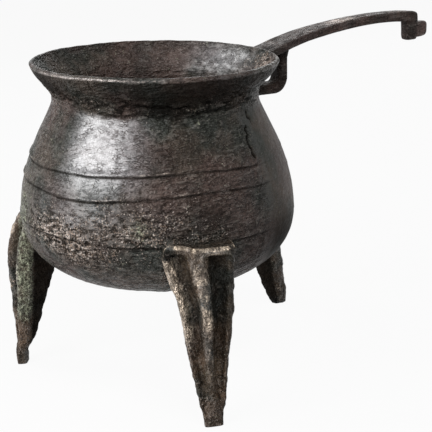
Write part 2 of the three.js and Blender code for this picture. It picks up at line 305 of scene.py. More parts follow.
def closed_skin(name: str, rings: Array, marks: Marks) -> bpy.types.Object:
    """A smooth closed mesh through rings, with a pole in the middle of each end.

    Neighbouring rings are joined by four-sided faces, and the first and last
    ring by triangles to the mean of their points.

    Args:
        name: Name of the piece.
        rings: Array (rows, columns, 3) in millimetres, counter-clockwise about the way they run.
        marks: Values from 0 to 1 for each point, arrays (rows, columns).

    Returns:
        The piece, at the origin.
    """
    rows, columns, _ = rings.shape
    points = np.concatenate([rings.reshape(-1, 3), rings[:1].mean(axis=1), rings[-1:].mean(axis=1)])
    index = np.arange(rows * columns).reshape(rows, columns)
    after = np.roll(index, -1, axis=1)
    quads = np.stack([index[:-1], after[:-1], after[1:], index[1:]], axis=-1).reshape(-1, 4)
    first, last = rows * columns, rows * columns + 1
    low = np.stack([np.full(columns, first), after[0], index[0]], axis=-1)
    high = np.stack([np.full(columns, last), index[-1], after[-1]], axis=-1)
    mesh = bpy.data.meshes.new(name)
    mesh.from_pydata((points * MM).tolist(), [], quads.tolist() + low.tolist() + high.tolist())
    mesh.polygons.foreach_set("use_smooth", np.ones(len(mesh.polygons), dtype=bool))
    for mark in Mark:
        values = marks.get(mark, np.zeros((rows, columns)))
        ends = [values[0].mean(), values[-1].mean()]
        layer = mesh.attributes.new(mark.value, "FLOAT", "POINT")
        layer.data.foreach_set("value", np.append(np.clip(values, 0, 1).ravel(), ends).astype(np.float32))
    mesh.update()
    piece = bpy.data.objects.new(name, mesh)
    bpy.context.scene.collection.objects.link(piece)
    return piece


# Shader maths


class Wire:
    """One output of a node in a finish, with arithmetic that adds Math nodes."""

    def __init__(self, bench: Bench, socket: bpy.types.NodeSocket | None) -> None:
        """Keep the bench that owns the nodes, and the output socket."""
        self.bench = bench
        self.socket = socket

    def _maths(self, operation: str, first: Wire | float, second: Wire | float) -> Wire:
        """Add one Math node on two values or wires."""
        return self.bench.place("ShaderNodeMath", {"operation": operation}, {0: first, 1: second})

    def __add__(self, other: Wire | float) -> Wire:
        """Sum."""
        return self._maths("ADD", self, other)

    __radd__ = __add__

    def __mul__(self, other: Wire | float) -> Wire:
        """Product."""
        return self._maths("MULTIPLY", self, other)

    __rmul__ = __mul__

    def __sub__(self, other: Wire | float) -> Wire:
        """Difference."""
        return self._maths("SUBTRACT", self, other)

    def __rsub__(self, other: Wire | float) -> Wire:
        """Difference from a number, so that 1 - mask works."""
        return self._maths("SUBTRACT", other, self)

    def __abs__(self) -> Wire:
        """Size without its sign."""
        return self._maths("ABSOLUTE", self, 0.0)


class Ray(Enum):
    """What a ray of light is on its way to, as an output of the Light Path node."""

    SEEN = "Is Camera Ray"
    MIRRORED = "Is Glossy Ray"
    THROUGH = "Is Transmission Ray"


class Bench:
    """Builds the nodes of one material or of the surroundings."""

    def __init__(self, owner: bpy.types.Material | bpy.types.World) -> None:
        """Empty the owner's node tree.

        Args:
            owner: The material or world that gets the nodes.
        """
        owner.use_nodes = True
        self.tree = owner.node_tree
        self.tree.nodes.clear()

    def place(
        self, kind: str, settings: dict | None = None, sockets: dict | None = None, out: str | int = 0
    ) -> Wire:
        """Add a node of any type.

        Args:
            kind: The node's type.
            settings: Its properties, set first.
            sockets: Input names or numbers with the value or wire that each gets.
            out: Name or number of the output that is handed back.

        Returns:
            The chosen output.
        """
        node = self.tree.nodes.new(kind)
        for key, value in (settings or {}).items():
            setattr(node, key, value)
        for key, value in (sockets or {}).items():
            if isinstance(value, Wire):
                self.tree.links.new(value.socket, node.inputs[key])
            elif isinstance(value, tuple) and node.inputs[key].type == "RGBA":
                node.inputs[key].default_value = (*value, 1.0)
            else:
                node.inputs[key].default_value = value
        return Wire(self, node.outputs[out] if len(node.outputs) else None)

    @cached_property
    def here(self) -> Wire:
        """Object coordinates of the shaded point."""
        return self.place("ShaderNodeTexCoord", out="Object")

    def ray(self, kind: Ray) -> Wire:
        """1 for rays of one kind, 0 for all others."""
        return self.place("ShaderNodeLightPath", out=kind.value)

    def vectors(self, operation: str, sockets: dict) -> Wire:
        """Add one Vector Math node."""
        return self.place("ShaderNodeVectorMath", {"operation": operation}, sockets)

    def stirred(self, width: float, amount: float) -> Wire:
        """Coordinates pushed about by clouds.

        Args:
            width: Width of the clouds in millimetres.
            amount: Twice the furthest push in millimetres.

        Returns:
            The pushed coordinates.
        """
        cloud = {"Vector": self.here, "Scale": 1.0 / (width * MM), "Detail": 2.0}
        push = self.place("ShaderNodeTexNoise", {}, cloud, out="Color")
        push = self.vectors("SUBTRACT", {0: push, 1: (0.5, 0.5, 0.5)})
        push = self.vectors("SCALE", {0: push, "Scale": amount * MM})
        return self.vectors("ADD", {0: self.here, 1: push})

    def drawn(self, scale: Triple) -> Wire:
        """Coordinates scaled along the axes: below 1 draws the pattern out."""
        return self.vectors("MULTIPLY", {0: self.here, 1: scale})

    def noise(
        self, width: float, detail: float = 3.0, rough: float = 0.55, along: Wire | None = None
    ) -> Wire:
        """Cloudy relief.

        Args:
            width: Rough width of its lumps in millimetres.
            detail: How many finer layers it has.
            rough: Strength of each finer layer.
            along: Coordinates, or None for the plain ones.

        Returns:
            Its height, 0 to 1.
        """
        sockets = {"Vector": along or self.here, "Scale": 1.0 / (width * MM)}
        return self.place("ShaderNodeTexNoise", {}, sockets | {"Detail": detail, "Roughness": rough})

    def step(self, value: Wire, low: float, high: float) -> Wire:
        """Smooth step, reversed where low is above high.

        Args:
            value: What is stepped.
            low: Where the step is 0.
            high: Where it is 1.

        Returns:
            The step, 0 to 1.
        """
        ends = (low, high, 0.0, 1.0) if low < high else (high, low, 1.0, 0.0)
        sockets = dict(zip(("From Min", "From Max", "To Min", "To Max"), ends))
        settings = {"interpolation_type": "SMOOTHSTEP"}
        return self.place("ShaderNodeMapRange", settings, {"Value": value} | sockets)

    def tinted(self, share: Wire | float, under: Wire | tuple, over: Wire | tuple) -> Wire:
        """Colour blend: under at share 0, over at share 1."""
        settings = {"data_type": "RGBA", "clamp_factor": True}
        return self.place("ShaderNodeMix", settings, {0: share, 6: under, 7: over}, out=2)

    def mark(self, mark: Mark) -> Wire:
        """A mark that the mesh carries."""
        settings = {"attribute_name": mark.value, "attribute_type": "GEOMETRY"}
        return self.place("ShaderNodeAttribute", settings, out="Fac")


@dataclass(frozen=True)
class Patina:
    """Cast bronze under an old waxed patina.

    Attributes:
        name: Name of the material.
        deep: Colour of its darkest ground.
        warm: Colour of its browner clouds.
        tinge: Colour of its redder clouds.
        grain_and_glint: Colour of the greyer raised grains, which partly stands for a painted glint on the
            crests.
        metal: Colour where the skin is rubbed through.
        earth: Colour of the encrusted grains.
        chalk: Colour of the palest of them.
        mossy: Colour of the ground under the green deposits.
        verdigris: Colour of the green deposits.
        waxed: Colour of the ground under thick wax.
        painted_shade: Colour of the painted shade in creases, hollows and shaded places, and of a few
            darker patches.
        gloss: Roughness of the ground.
        shine: Mirror strength of the ground, 0.5 for plain lacquer.
        wax_index: Refractive index of the wax.
        wax_roughness: Roughness of the wax.
        grain: Width of the skin's lumps in millimetres.
        relief: Height of the skin against that of the bowl.
        draw: Scale of the streaks along each axis, below 1 where they are drawn out.
        streaks: Height of the streaks in millimetres.
    """

    name: str
    deep: Triple = (0.0245, 0.0275, 0.0215)
    warm: Triple = (0.075, 0.056, 0.043)
    tinge: Triple = (0.112, 0.055, 0.052)
    grain_and_glint: Triple = (0.266, 0.242, 0.219)
    metal: Triple = (0.55, 0.46, 0.40)
    earth: Triple = (0.345, 0.252, 0.194)
    chalk: Triple = (0.75, 0.65, 0.59)
    mossy: Triple = (0.104, 0.110, 0.078)
    verdigris: Triple = (0.52, 0.55, 0.39)
    waxed: Triple = (0.216, 0.213, 0.225)
    painted_shade: Triple = (0.0058, 0.005, 0.0043)
    gloss: float = 0.27
    shine: float = 0.25
    wax_index: float = 2.05
    wax_roughness: float = 0.3
    grain: float = 1.9
    relief: float = 1.0
    draw: Triple = (0.38, 0.38, 1.1)
    streaks: float = 3.8

    def material(self) -> bpy.types.Material:
        """Build the finish: clouded ground, grains, deposits, wear, and the skin's relief.

        The ground is clouded and then tinted in the order in which the years
        laid it down: grains, crust, verdigris, rubbed metal, wax. Creases, sunk
        spots and the shade mark get painted shade, and the skin's layers add up to one relief.

        Returns:
            The material.
        """
        material = bpy.data.materials.new(self.name)
        bench = Bench(material)
        worn, crust, green, dark, waxed, sleek = (bench.mark(mark) for mark in Mark)
        stirred = bench.stirred(6.0, 3.0)
        swell = bench.noise(self.grain * 3.0, 2.0, 0.5, stirred)
        lumps = bench.noise(self.grain, 2.0, 0.55, stirred)
        streak = bench.noise(self.grain, 2.0, 0.55, bench.drawn(self.draw))
        grit = bench.noise(1.25, 2.0, 0.6)
        skin = lumps * 0.25 + streak * 0.75
        crease = bench.step(abs(skin - 0.5), 0.055, 0.0) * bench.step(swell, 0.36, 0.60)
        clouds = bench.step(bench.noise(24.0, 4.0), 0.38, 0.64)
        ground = bench.tinted(clouds, self.deep, self.warm)
        tint = bench.step(bench.noise(34.0, 3.0), 0.42, 0.60)
        ground = bench.tinted(tint * 0.3, ground, self.tinge)
        # Raised crests are lightened: greyer grains, and partly a painted glint.
        raised = bench.step(skin * 0.85 + grit * 0.15, 0.51, 0.62)
        ground = bench.tinted(raised * (0.19 - sleek * 0.17), ground, self.grain_and_glint)
        dust = bench.noise(0.9, 1.0)
        deposit = bench.step(dust * 0.5 + grit * 0.25 + swell * 0.25 + crust * 0.19, 0.63, 0.73)
        grains = bench.tinted(bench.step(bench.noise(1.6, 2.0), 0.42, 0.62), self.earth, self.chalk)
        ground = bench.tinted(deposit * 0.9, ground, grains)
        ground = bench.tinted(green * 0.7, ground, self.mossy)
        bloom = bench.step(lumps * 0.35 + grit * 0.4 + swell * 0.25 + green * 0.18, 0.58, 0.76)
        ground = bench.tinted(bloom * 0.75, ground, self.verdigris)
        rubbed = bench.step(skin * 0.4 + grit * 0.3 + worn * 0.36, 0.45, 0.68)
        ground = bench.tinted(rubbed * 0.85, ground, self.metal)
        # Sunk spots and the skin's creases are darkened here as painted shade.
        sunk = bench.step(skin * 0.85 + grit * 0.15 - crust * 0.05, 0.47, 0.38)
        sunk = sunk * (0.5 + crust * 0.45 - sleek * 0.4) * (1.0 - waxed * 0.5)
        shade_share = 1.0 - (1.0 - crease * (0.65 - sleek * 0.5)) * (1.0 - sunk) * (1.0 - dark)
        sheen = waxed * (1.0 - deposit * 0.6) * (1.0 - shade_share)
        ground = bench.tinted(sheen * 0.7, ground, self.waxed)
        rough = self.gloss + (grit - 0.5) * 0.5 + deposit * 0.2 + sleek * 0.12
        height = swell * 3.8 + lumps * 1.8 + grit * (0.7 + crust * 1.6) - crease * 0.4
        height = height * self.relief + streak * self.streaks + deposit * 0.15
        height = height * (1.0 - sleek * 0.8) * (1.0 - waxed * 0.2)
        bump = bench.place("ShaderNodeBump", {}, {"Strength": 1.0, "Distance": MM, "Height": height})
        finish = {
            "Base Color": ground,
            "Metallic": rubbed * 0.5 + sheen * 0.5,
            "Roughness": rough,
            "Normal": bump,
            "Specular IOR Level": self.shine,
            "Coat Weight": sheen * 0.9,
            "Coat Roughness": self.wax_roughness,
            "Coat IOR": self.wax_index,
        }
        shader = bench.place("ShaderNodeBsdfPrincipled", {}, finish)
        # Painted shade: a black diffuse mixed in by the share of creases, sunk spots and the shade mark.
        painted_shade = bench.place("ShaderNodeBsdfDiffuse", {}, {"Color": self.painted_shade})
        shader = bench.place("ShaderNodeMixShader", {}, {0: shade_share, 1: shader, 2: painted_shade})
        bench.place("ShaderNodeOutputMaterial", {}, {"Surface": shader})
        return material


@dataclass(frozen=True)
class Finishes:
    """The three finishes of the pot."""

    bowl: Patina = Patina("bowl_patina")
    leg: Patina = Patina(
        "leg_patina",
        warm=(0.104, 0.072, 0.046),
        tinge=(0.187, 0.095, 0.052),
        metal=(0.68, 0.55, 0.42),
        shine=0.36,
        grain=2.2,
        relief=1.5,
        draw=(1.0, 1.0, 0.4),
        streaks=1.6,
    )
    handle: Patina = Patina(
        "handle_patina",
        deep=(0.032, 0.022, 0.017),
        warm=(0.101, 0.060, 0.046),
        metal=(0.49, 0.39, 0.33),
        gloss=0.3,
        shine=0.36,
        grain=1.3,
        relief=0.7,
        draw=(0.1, 1.0, 1.0),
        streaks=1.2,
    )


# The pot


@dataclass(frozen=True)
class Setting:
    """Where the cast bowl stands and how it leans.

    Attributes:
        middle: The belly's middle over the floor, x and y in the part's frame.
        belly_height: Height of the widest ring.
        lean: Angle of the bowl's axis from upright, in degrees.
        lean_azimuth: Direction in which the axis leans, in degrees.
    """

    middle: tuple[float, float]
    belly_height: float = 96.8
    lean: float = 5.2
    lean_azimuth: float = -24.0

    @classmethod
    def from_frame(cls) -> Setting:
        """Take the belly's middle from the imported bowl's low corner, BOWL_REACH away from it."""
        low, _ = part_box("bowl")
        return cls(middle=(low[0] / MM + BOWL_REACH[0], low[1] / MM + BOWL_REACH[1]))

    @property
    def turn(self) -> Array:
        """Rotation by the lean about the level axis across it.

        It is 1 + sin(lean) K + (1 - cos(lean)) K^2, where K is the cross
        product with that axis.

        Returns:
            Array (3, 3).
        """
        azimuth, lean = np.radians(self.lean_azimuth), np.radians(self.lean)
        x, y = -np.sin(azimuth), np.cos(azimuth)
        cross = np.array([[0, 0, y], [0, 0, -x], [-y, x, 0]])
        return np.eye(3) + np.sin(lean) * cross + (1 - np.cos(lean)) * cross @ cross

    @property
    def origin(self) -> Array:
        """The middle of the widest ring in the part's frame."""
        return np.array([*self.middle, self.belly_height])

    def to_part(self, points: Array) -> Array:
        """Points of the leaning casting, moved into the part's frame."""
        return points @ self.turn.T + self.origin

    def to_casting(self, points: Array) -> Array:
        """Points of the part's frame, seen from the leaning casting."""
        return (points - self.origin) @ self.turn

    def ledge_height(self, points: Array, drop: float) -> Array:
        """Height over the floor of a level of the leaning casting.

        Args:
            points: Where it is asked for, (..., 3).
            drop: How far the level lies under the widest ring.

        Returns:
            Array (...).
        """
        axis = self.turn[:, 2]
        x, y = points[..., 0] - self.middle[0], points[..., 1] - self.middle[1]
        return self.belly_height - (drop + axis[0] * x + axis[1] * y) / axis[2]


@dataclass(frozen=True)
class Patch:
    """A soft oval on the bowl: strength * exp(-(turn / width)^2 - ((height - rise) / half_height)^2).

    Attributes:
        azimuth: Direction of its middle in degrees.
        rise: Height of its middle over the widest ring, or over the neck line.
        width: Half its width in degrees.
        half_height: Half its height in millimetres.
        strength: Its value in the middle.
    """

    azimuth: float
    rise: float
    width: float
    half_height: float
    strength: float = 1.0

    def at(self, azimuth: Array, height: Array) -> Array:
        """Its value at directions in degrees and at heights."""
        turn = turned_from(azimuth, self.azimuth) / self.width
        return self.strength * np.exp(-(turn**2) - ((height - self.rise) / self.half_height) ** 2)


@dataclass(frozen=True)
class Wall:
    """The bowl's wall as a smooth grid, before its relief. All arrays are (rows, columns).

    Attributes:
        flat: Its points, with a third axis for x, y and z.
        azimuth: Directions in degrees.
        level: Heights over the widest ring.
        radius: Distances from the axis.
        outer: 1 outside, 0 inside.
        low: Height of the neck line, where the crust in the neck begins.
    """

    flat: Array
    azimuth: Array
    level: Array
    radius: Array
    outer: Array
    low: Array

    def under(self, *patches: Patch) -> Array:
        """Sum of soft ovals whose heights are over the widest ring."""
        return sum(patch.at(self.azimuth, self.level) for patch in patches)

    def at_neck(self, patch: Patch) -> Array:
        """A soft oval on the outside whose height is over the neck line."""
        return patch.at(self.azimuth, self.level - self.low) * self.outer


@dataclass(frozen=True)
class Zones:
    """What the relief and the marks of the bowl share, each 0 to 1.

    Attributes:
        neck: The crust in the neck.
        crease: The fold along its lower edge.
        slit: The slit through it.
        clefts: The jagged clefts through it.
        tan: The crust on the lower left.
        sleek: The worn smooth right side.
        pad: The pad of metal beside the front leg.
        rough: That pad, and the rough metal over the leg.
        crack: The cracks.
        raised: The fillets.
        fillet_shadow: The painted shadow under them.
    """

    neck: Array
    crease: Array
    slit: Array
    clefts: Array
    tan: Array
    sleek: Array
    pad: Array
    rough: Array
    crack: Array
    raised: Array
    fillet_shadow: Array


@dataclass
class Bowl:
    """The thin-walled pot: rounded base, belly, drawn-in neck and flared rim.

    Heights are over the widest ring. A line round the bowl is a row of
    (direction in degrees, height) points, and fine_rows holds stretches of the
    outside as (from, to, spacing of the rows).
    """

    setting: Setting
    finish: Patina
    belly_radius: float = 80.0
    base_depth: float = 42.6
    base_flatness: float = 51.5
    base_roundness: float = 27.5
    neck_rise: float = 65.4
    neck_radius: float = 59.5
    shoulder_fullness: float = 33.0
    neck_tightness: float = 6.5
    rim_rise: float = 87.1
    rim_radius: float = 71.0
    flare_throat: float = 12.3
    flare_spread: float = 5.5
    flare_run: float = 15.0
    wall: float = 3.2
    lip_wall: float = 2.4
    lip_rounding: float = 0.8
    fillet_lines: tuple[Line, ...] = (
        ((90, 0.1), (201, 1.2), (213, 0.8), (224, -0.3), (240, 0.1)),
        (
            (90, 25.8), (188, 24.0), (200, 22.6), (214, 22.6), (224, 23.9), (244, 26.0), (266, 27.4),
            (290, 25.9),
        ),
        (
            (90, 37.4), (185, 34.9), (197, 35.6), (211, 35.6), (224, 36.1), (240, 36.9), (261, 38.2),
            (288, 36.4),
        ),
    )
    fillet_height: float = 0.8
    fillet_swell: float = 2.0
    fillet_drop: float = 0.9
    neck_line: Line = (
        (90, 66.0), (182, 69.3), (196, 68.3), (207, 67.0), (216, 65.8), (224, 65.8), (235, 67.0),
        (245, 65.4), (252, 64.3), (260, 65.2), (272, 67.0), (285, 67.4), (310, 66.5),
    )
    neck_crust_height: float = 8.5
    cracks: tuple[Line, ...] = (
        ((298.4, 62.4), (297.6, 59.8), (299.6, 58.4), (299.4, 56.0)),
        ((293.6, 55.4), (292.0, 54.2), (292.6, 51.5), (290.6, 49.6), (290.4, 47.2),
         (291.3, 44.0), (290.7, 41.6), (292.2, 39.4)),
        ((226.0, 73.6), (229.0, 72.4), (232.0, 71.2), (238.0, 70.7), (244.0, 69.5), (249.0, 70.3),
         (254.0, 69.2), (262.0, 70.4)),
    )
    crack_width: float = 0.5
    crack_depth: float = 0.8
    crack_azimuth: float = 290.0
    seam_azimuths: tuple[float, ...] = (109.0, 289.5)
    seam_height: float = 0.16
    seam_width: float = 0.9
    seam_top: float = 60.0
    sleek_start: float = 289.0
    tan_crust: tuple[Patch, ...] = (
        Patch(196.0, 3.0, 20.0, 13.0), Patch(216.0, -6.0, 18.0, 12.0, 0.6),
        Patch(220.0, 14.0, 9.0, 4.5, 0.5),
    )
    low_crust: Patch = Patch(234.0, 8.0, 36.0, 18.0, 0.75)
    inner_crust: Patch = Patch(343.0, 82.0, 20.0, 7.0)
    root_pad: Patch = Patch(245.5, -14.0, 4.0, 19.0)
    neck_slit: Patch = Patch(246.0, 5.0, 22.0, 1.2)
    # Painted shade under the flare: in the neck below it, in its throat, on its underside and on its left
    # side.
    neck_shade: Patch = Patch(248.0, 3.0, 20.0, 3.6, 0.85)
    throat_shade: Patch = Patch(258.0, 73.0, 30.0, 4.0, 0.8)
    flare_shade: Patch = Patch(262.0, 78.0, 48.0, 40.0, 0.5)
    left_flare_shade: Patch = Patch(180.0, 79.0, 24.0, 14.0, 0.85)
    # Darker patches on the body, the largest low on the right side.
    body_darkening: tuple[Patch, ...] = (
        Patch(264.0, 13.0, 9.0, 9.0, 0.45), Patch(252.0, 46.0, 12.0, 8.0, 0.3),
        Patch(300.0, 0.0, 16.0, 12.0, 0.3), Patch(312.0, -14.0, 34.0, 16.0, 0.5),
    )
    verdigris: tuple[Patch, ...] = (Patch(168.0, 4.0, 13.0, 18.0, 0.7), Patch(235.7, 9.4, 4.0, 5.0, 0.6))
    # Where the lip is rubbed lighter; along the front this partly stands for a painted highlight.
    rubbed_lip_and_highlight: Patch = Patch(212.0, 87.0, 34.0, 30.0, 0.9)
    rubbed_shoulder: Patch = Patch(208.0, 46.0, 22.0, 20.0, 0.3)
    outer_wax: tuple[Patch, ...] = (
        Patch(210.0, 16.0, 26.0, 14.0, 0.35), Patch(336.0, 77.0, 12.0, 11.0, 0.9),
    )
    inner_wax: Patch = Patch(20.0, 78.5, 20.0, 8.0, 0.9)
    sway: Grain = Grain(70.0, 2, seed=3)
    sway_height: float = 0.25
    lumps: Grain = Grain(15.0, 3, seed=5)
    lump_height: float = 0.24
    inner_lumps: Grain = Grain(9.0, 3, seed=6)
    inner_lump_height: float = 1.3
    sand: Grain = Grain(4.2, 2, seed=7)
    crinkles: Grain = Grain(3.0, 2, seed=37)
    crinkle_height: float = 0.16
    rough_metal: Grain = Grain(3.4, 2, seed=13)
    rough_height: float = 1.1
    pad_height: float = 1.6
    jags: Grain = Grain(7.5, 3, seed=14)
    cleft_depth: float = 0.9
    crease_depth: float = 0.8
    pits: Pits = Pits(9.0, 1.5, seed=17)
    pit_depth: float = 0.35
    rim_waves: Grain = Grain(34.0, 2, seed=19)
    wave_height: float = 0.45
    outer_row: float = 1.4
    inner_row: float = 4.5
    inner_top_row: float = 1.6
    inner_top: float = 58.0
    lip_row: float = 0.45
    lip_height: float = 1.5
    fine_rows: tuple[Triple, ...] = (
        (-90.0, -25.0, 2.6), (-1.6, 2.6, 0.5), (20.6, 29.0, 0.5), (33.0, 40.0, 0.5),
        (40.0, 63.0, 0.75), (63.0, 75.0, 0.55),
    )
    columns: int = 412

    def outer_line(self) -> Array:
        """The outer profile from the pole of the base to the rim, in three cubic stretches.

        Each is steered by four points, with the weights (1-t)^3, 3t(1-t)^2,
        3t^2(1-t) and t^3.

        Returns:
            Points (rows, 2) as radius and height.
        """
        base, belly = (0.0, -self.base_depth), (self.belly_radius, 0.0)
        neck, rim = (self.neck_radius, self.neck_rise), (self.rim_radius, self.rim_rise)
        steers = np.array(
            [
                [base, (self.base_flatness, base[1]), (belly[0], -self.base_roundness), belly],
                [belly, (belly[0], self.shoulder_fullness), (neck[0], neck[1] - self.neck_tightness), neck],
                [neck, (neck[0], neck[1] + self.flare_throat),
                 (rim[0] - self.flare_spread, rim[1] - self.flare_run), rim],
            ]
        )
        t = np.linspace(0.0, 1.0, 400)[:, None]
        shares = np.concatenate([(1 - t) ** 3, 3 * t * (1 - t) ** 2, 3 * t**2 * (1 - t), t**3], axis=1)
        stretches = shares @ steers
        return np.concatenate([stretches[0], stretches[1][1:], stretches[2][1:]])

    def outer_radius(self, rise: Array) -> Array:
        """Outer radius at a height over the widest ring, zero under the base."""
        line = self.outer_line()
        return np.interp(rise, line[:, 1], line[:, 0], left=0.0)

    def clearance(self, points: Array) -> Array:
        """How far points of the part's frame stand out from the bowl's outer face, level with them."""
        spots = self.setting.to_casting(points)
        return np.hypot(spots[..., 0], spots[..., 1]) - self.outer_radius(spots[..., 2])

    def push_out(self, points: Array, sink: float = 1.2) -> Array:
        """Move points that lie deep in the bowl out to just under its outer face.

        The distance from the axis is raised to the outer radius less the sink,
        at the same height, wherever it is smaller.

        Args:
            points: Array (..., 3) in the part's frame.
            sink: How far under the outer face they may lie.

        Returns:
            Array of the same shape.
        """
        spots = self.setting.to_casting(points)
        reach = np.hypot(spots[..., 0], spots[..., 1])
        wanted = np.where(spots[..., 2] < self.rim_rise, self.outer_radius(spots[..., 2]) - sink, 0.0)
        scale = np.maximum(reach, wanted) / np.maximum(reach, 1e-6)
        spots = spots * np.stack([scale, scale, np.ones_like(scale)], axis=-1)
        return self.setting.to_part(spots)

    def profile(self) -> tuple[Array, Array]:
        """The closed wall's section, from the base's outer pole over the lip to its inner pole.

        The inner line is the outer line moved inwards along its normals by
        the wall, which thins towards the lip. The lip is half an ellipse.
        Rows are spread so that each covers an equal share of the wanted
        fineness.

        Returns:
            The section's points, (rows, 2), and 1 for outside or 0 for inside, (rows,).
        """
        outer = self.outer_line()
        step = np.gradient(outer, axis=0)
        normal = np.stack([step[:, 1], -step[:, 0]], axis=-1)
        normal /= np.linalg.norm(normal, axis=1, keepdims=True)
        share = smooth((outer[:, 1] - self.neck_rise) / (self.rim_rise - self.neck_rise))
        inner = outer - normal * mixed(self.wall, self.lip_wall, share)[:, None]
        inner[0, 0] = 0.0
        inner = inner[(inner[:, 0] > 0.0) | (np.arange(len(inner)) == 0)]
        angle = np.linspace(0.0, np.pi, 12)[1:-1, None]
        centre, half = (outer[-1] + inner[-1]) / 2.0, (outer[-1] - inner[-1]) / 2.0
        lip = centre + half * np.cos(angle) + np.array([[0.0, self.lip_rounding]]) * np.sin(angle)
        line = np.concatenate([outer, lip, inner[::-1]])
        outside = (np.arange(len(line)) < len(outer) + len(lip) // 2).astype(float)
        run, rise = run_along(line), line[:, 1]
        inner_row = np.where(rise > self.inner_top, self.inner_top_row, self.inner_row)
        spacing = np.where(outside > 0.5, self.outer_row, inner_row)
        for low, high, fine in self.fine_rows:
            spacing = np.where((outside > 0.5) & (rise > low) & (rise < high), fine, spacing)
        spacing = np.where(rise > self.rim_rise - self.lip_height, self.lip_row, spacing)
        density = np.append(0.0, np.cumsum(np.diff(run) / spacing[1:]))
        at = np.interp(np.linspace(0.0, density[-1], int(density[-1])), density, run)
        points = picked(line, run, at)
        points[0, 0] = points[-1, 0] = 0.05
        return points, np.interp(at, run, outside)

    def azimuths(self) -> Array:
        """Directions of the columns, closer together over the cracked sector.

        Returns:
            Radians, (columns,).
        """
        even = np.arange(0.0, 360.0, 0.1)
        density = 1.0 + 2.2 * np.exp(-(((even - 295.0) / 9.0) ** 4))
        total = np.append(0.0, np.cumsum(density))
        wanted = np.arange(self.columns) * total[-1] / self.columns
        return np.interp(wanted, total, np.append(np.radians(even), 2 * np.pi))

    @staticmethod
    def along(line: Line, azimuth: Array) -> Array:
        """Height of a line round the bowl, straight between its (direction, height) points."""
        spots = np.array(line, dtype=float)
        return np.interp(azimuth, spots[:, 0], spots[:, 1], period=360.0)

    def smooth_wall(self) -> Wall:
        """Turn the section about the axis: x = r cos(a), y = r sin(a), z = height.

        Returns:
            The wall, still smooth.
        """
        section, outside = self.profile()
        theta = self.azimuths()[None, :]
        whole = np.ones((len(section), self.columns))
        radius, level = section[:, :1] * whole, section[:, 1:] * whole
        flat = np.stack([radius * np.cos(theta), radius * np.sin(theta), level], axis=-1)
        azimuth = np.degrees(theta) * whole
        low = self.along(self.neck_line, azimuth) + 0.9 * Grain(9.0, 3, seed=11).at(flat * [1, 1, 0])
        return Wall(flat, azimuth, level, radius, outside[:, None] * whole, low)

    def _cracks(self, wall: Wall) -> Array:
        """Jagged cracks under the neck and along it: 1 on the line, fading over half a millimetre.

        Each stretch is a straight line on the unrolled wall, and the distance
        to it is that to the nearest point between its ends.

        Args:
            wall: The smooth wall.

        Returns:
            Array (rows, columns).
        """
        across = np.radians(wall.azimuth - self.crack_azimuth) * wall.radius
        best = np.full(across.shape, np.inf)
        for path in self.cracks:
            spots = np.array(path)
            spots[:, 0] = np.radians(spots[:, 0] - self.crack_azimuth) * self.outer_radius(spots[:, 1])
            for start, end in zip(spots[:-1], spots[1:]):
                way = end - start
                share = ((across - start[0]) * way[0] + (wall.level - start[1]) * way[1]) / (way @ way)
                share = np.clip(share, 0.0, 1.0)
                gap = np.hypot(across - start[0] - share * way[0], wall.level - start[1] - share * way[1])
                best = np.minimum(best, gap)
        return np.clip(1.5 * bell(best, self.crack_width), 0.0, 1.0) * (wall.outer > 0.5)

    def _fillets(self, wall: Wall) -> tuple[Array, Array]:
        """The raised lines and the painted shadow under them.

        A line swells as exp(-(distance/swell)^2) from above and drops off
        within a millimetre below. It fades where the casting is smooth.

        Args:
            wall: The smooth wall.

        Returns:
            Height of the lines and strength of the painted shadow, each 0 to about 1.
        """
        raised, under = np.zeros(wall.level.shape), np.zeros(wall.level.shape)
        sway = 0.3 * Grain(11.0, 2, seed=29).at(wall.flat * [1, 1, 0])
        faded = 1.0 - 0.8 * np.exp(-((turned_from(wall.azimuth, 322.0) / 30.0) ** 4))
        strength = np.clip(0.95 + 0.5 * Grain(20.0, 2, seed=31).at(wall.flat), 0.3, 1.4) * faded
        for line in self.fillet_lines:
            away = wall.level - self.along(line, wall.azimuth) - sway
            swell = bell(np.maximum(away, 0.0), self.fillet_swell)
            raised = np.maximum(raised, swell * smooth(1.0 + away / self.fillet_drop) * strength)
            # Painted shadow just under each line.
            under = np.maximum(under, bell(away + self.fillet_drop, 0.7) * strength)
        return raised, under * wall.outer

    def _zones(self, wall: Wall) -> Zones:
        """Where the bowl's skin differs: crust, clefts, cracks, fillets and the smooth side.

        Args:
            wall: The smooth wall.

        Returns:
            The zones.
        """
        azimuth, level, outer, low = wall.azimuth, wall.level, wall.outer, wall.low
        neck = band(level, low, 0.9, low + self.neck_crust_height, 3.0) * outer
        neck *= 0.15 + 0.85 * band(azimuth, 150.0, 20.0, 312.0, 14.0)
        crease = bell(level - low + 0.5, 0.55) * outer
        crease *= 0.3 + 0.7 * band(azimuth, 208.0, 14.0, 300.0, 20.0)
        turned = (azimuth - self.sleek_start) % 360.0
        pad = wall.under(self.root_pad) * outer
        over_leg = band(level, 0.5, 1.0, 8.0, 4.0) * outer * band(azimuth, 240.0, 6.0, 273.0, 3.0)
        raised, fillet_shadow = self._fillets(wall)
        return Zones(
            neck=neck,
            crease=crease,
            slit=wall.at_neck(self.neck_slit),
            clefts=bell(self.jags.at(wall.flat * [0.6, 0.6, 1.5]), 0.12) * neck,
            tan=np.clip(wall.under(*self.tan_crust), 0.0, 1.0) * outer,
            sleek=band(turned, 0.0, 9.0, 80.0, 20.0) * smooth((66.0 - level) / 5.0) * outer,
            pad=pad,
            rough=np.clip(pad + over_leg, 0.0, 1.0),
            crack=self._cracks(wall),
            raised=raised * outer,
            fillet_shadow=fillet_shadow,
        )

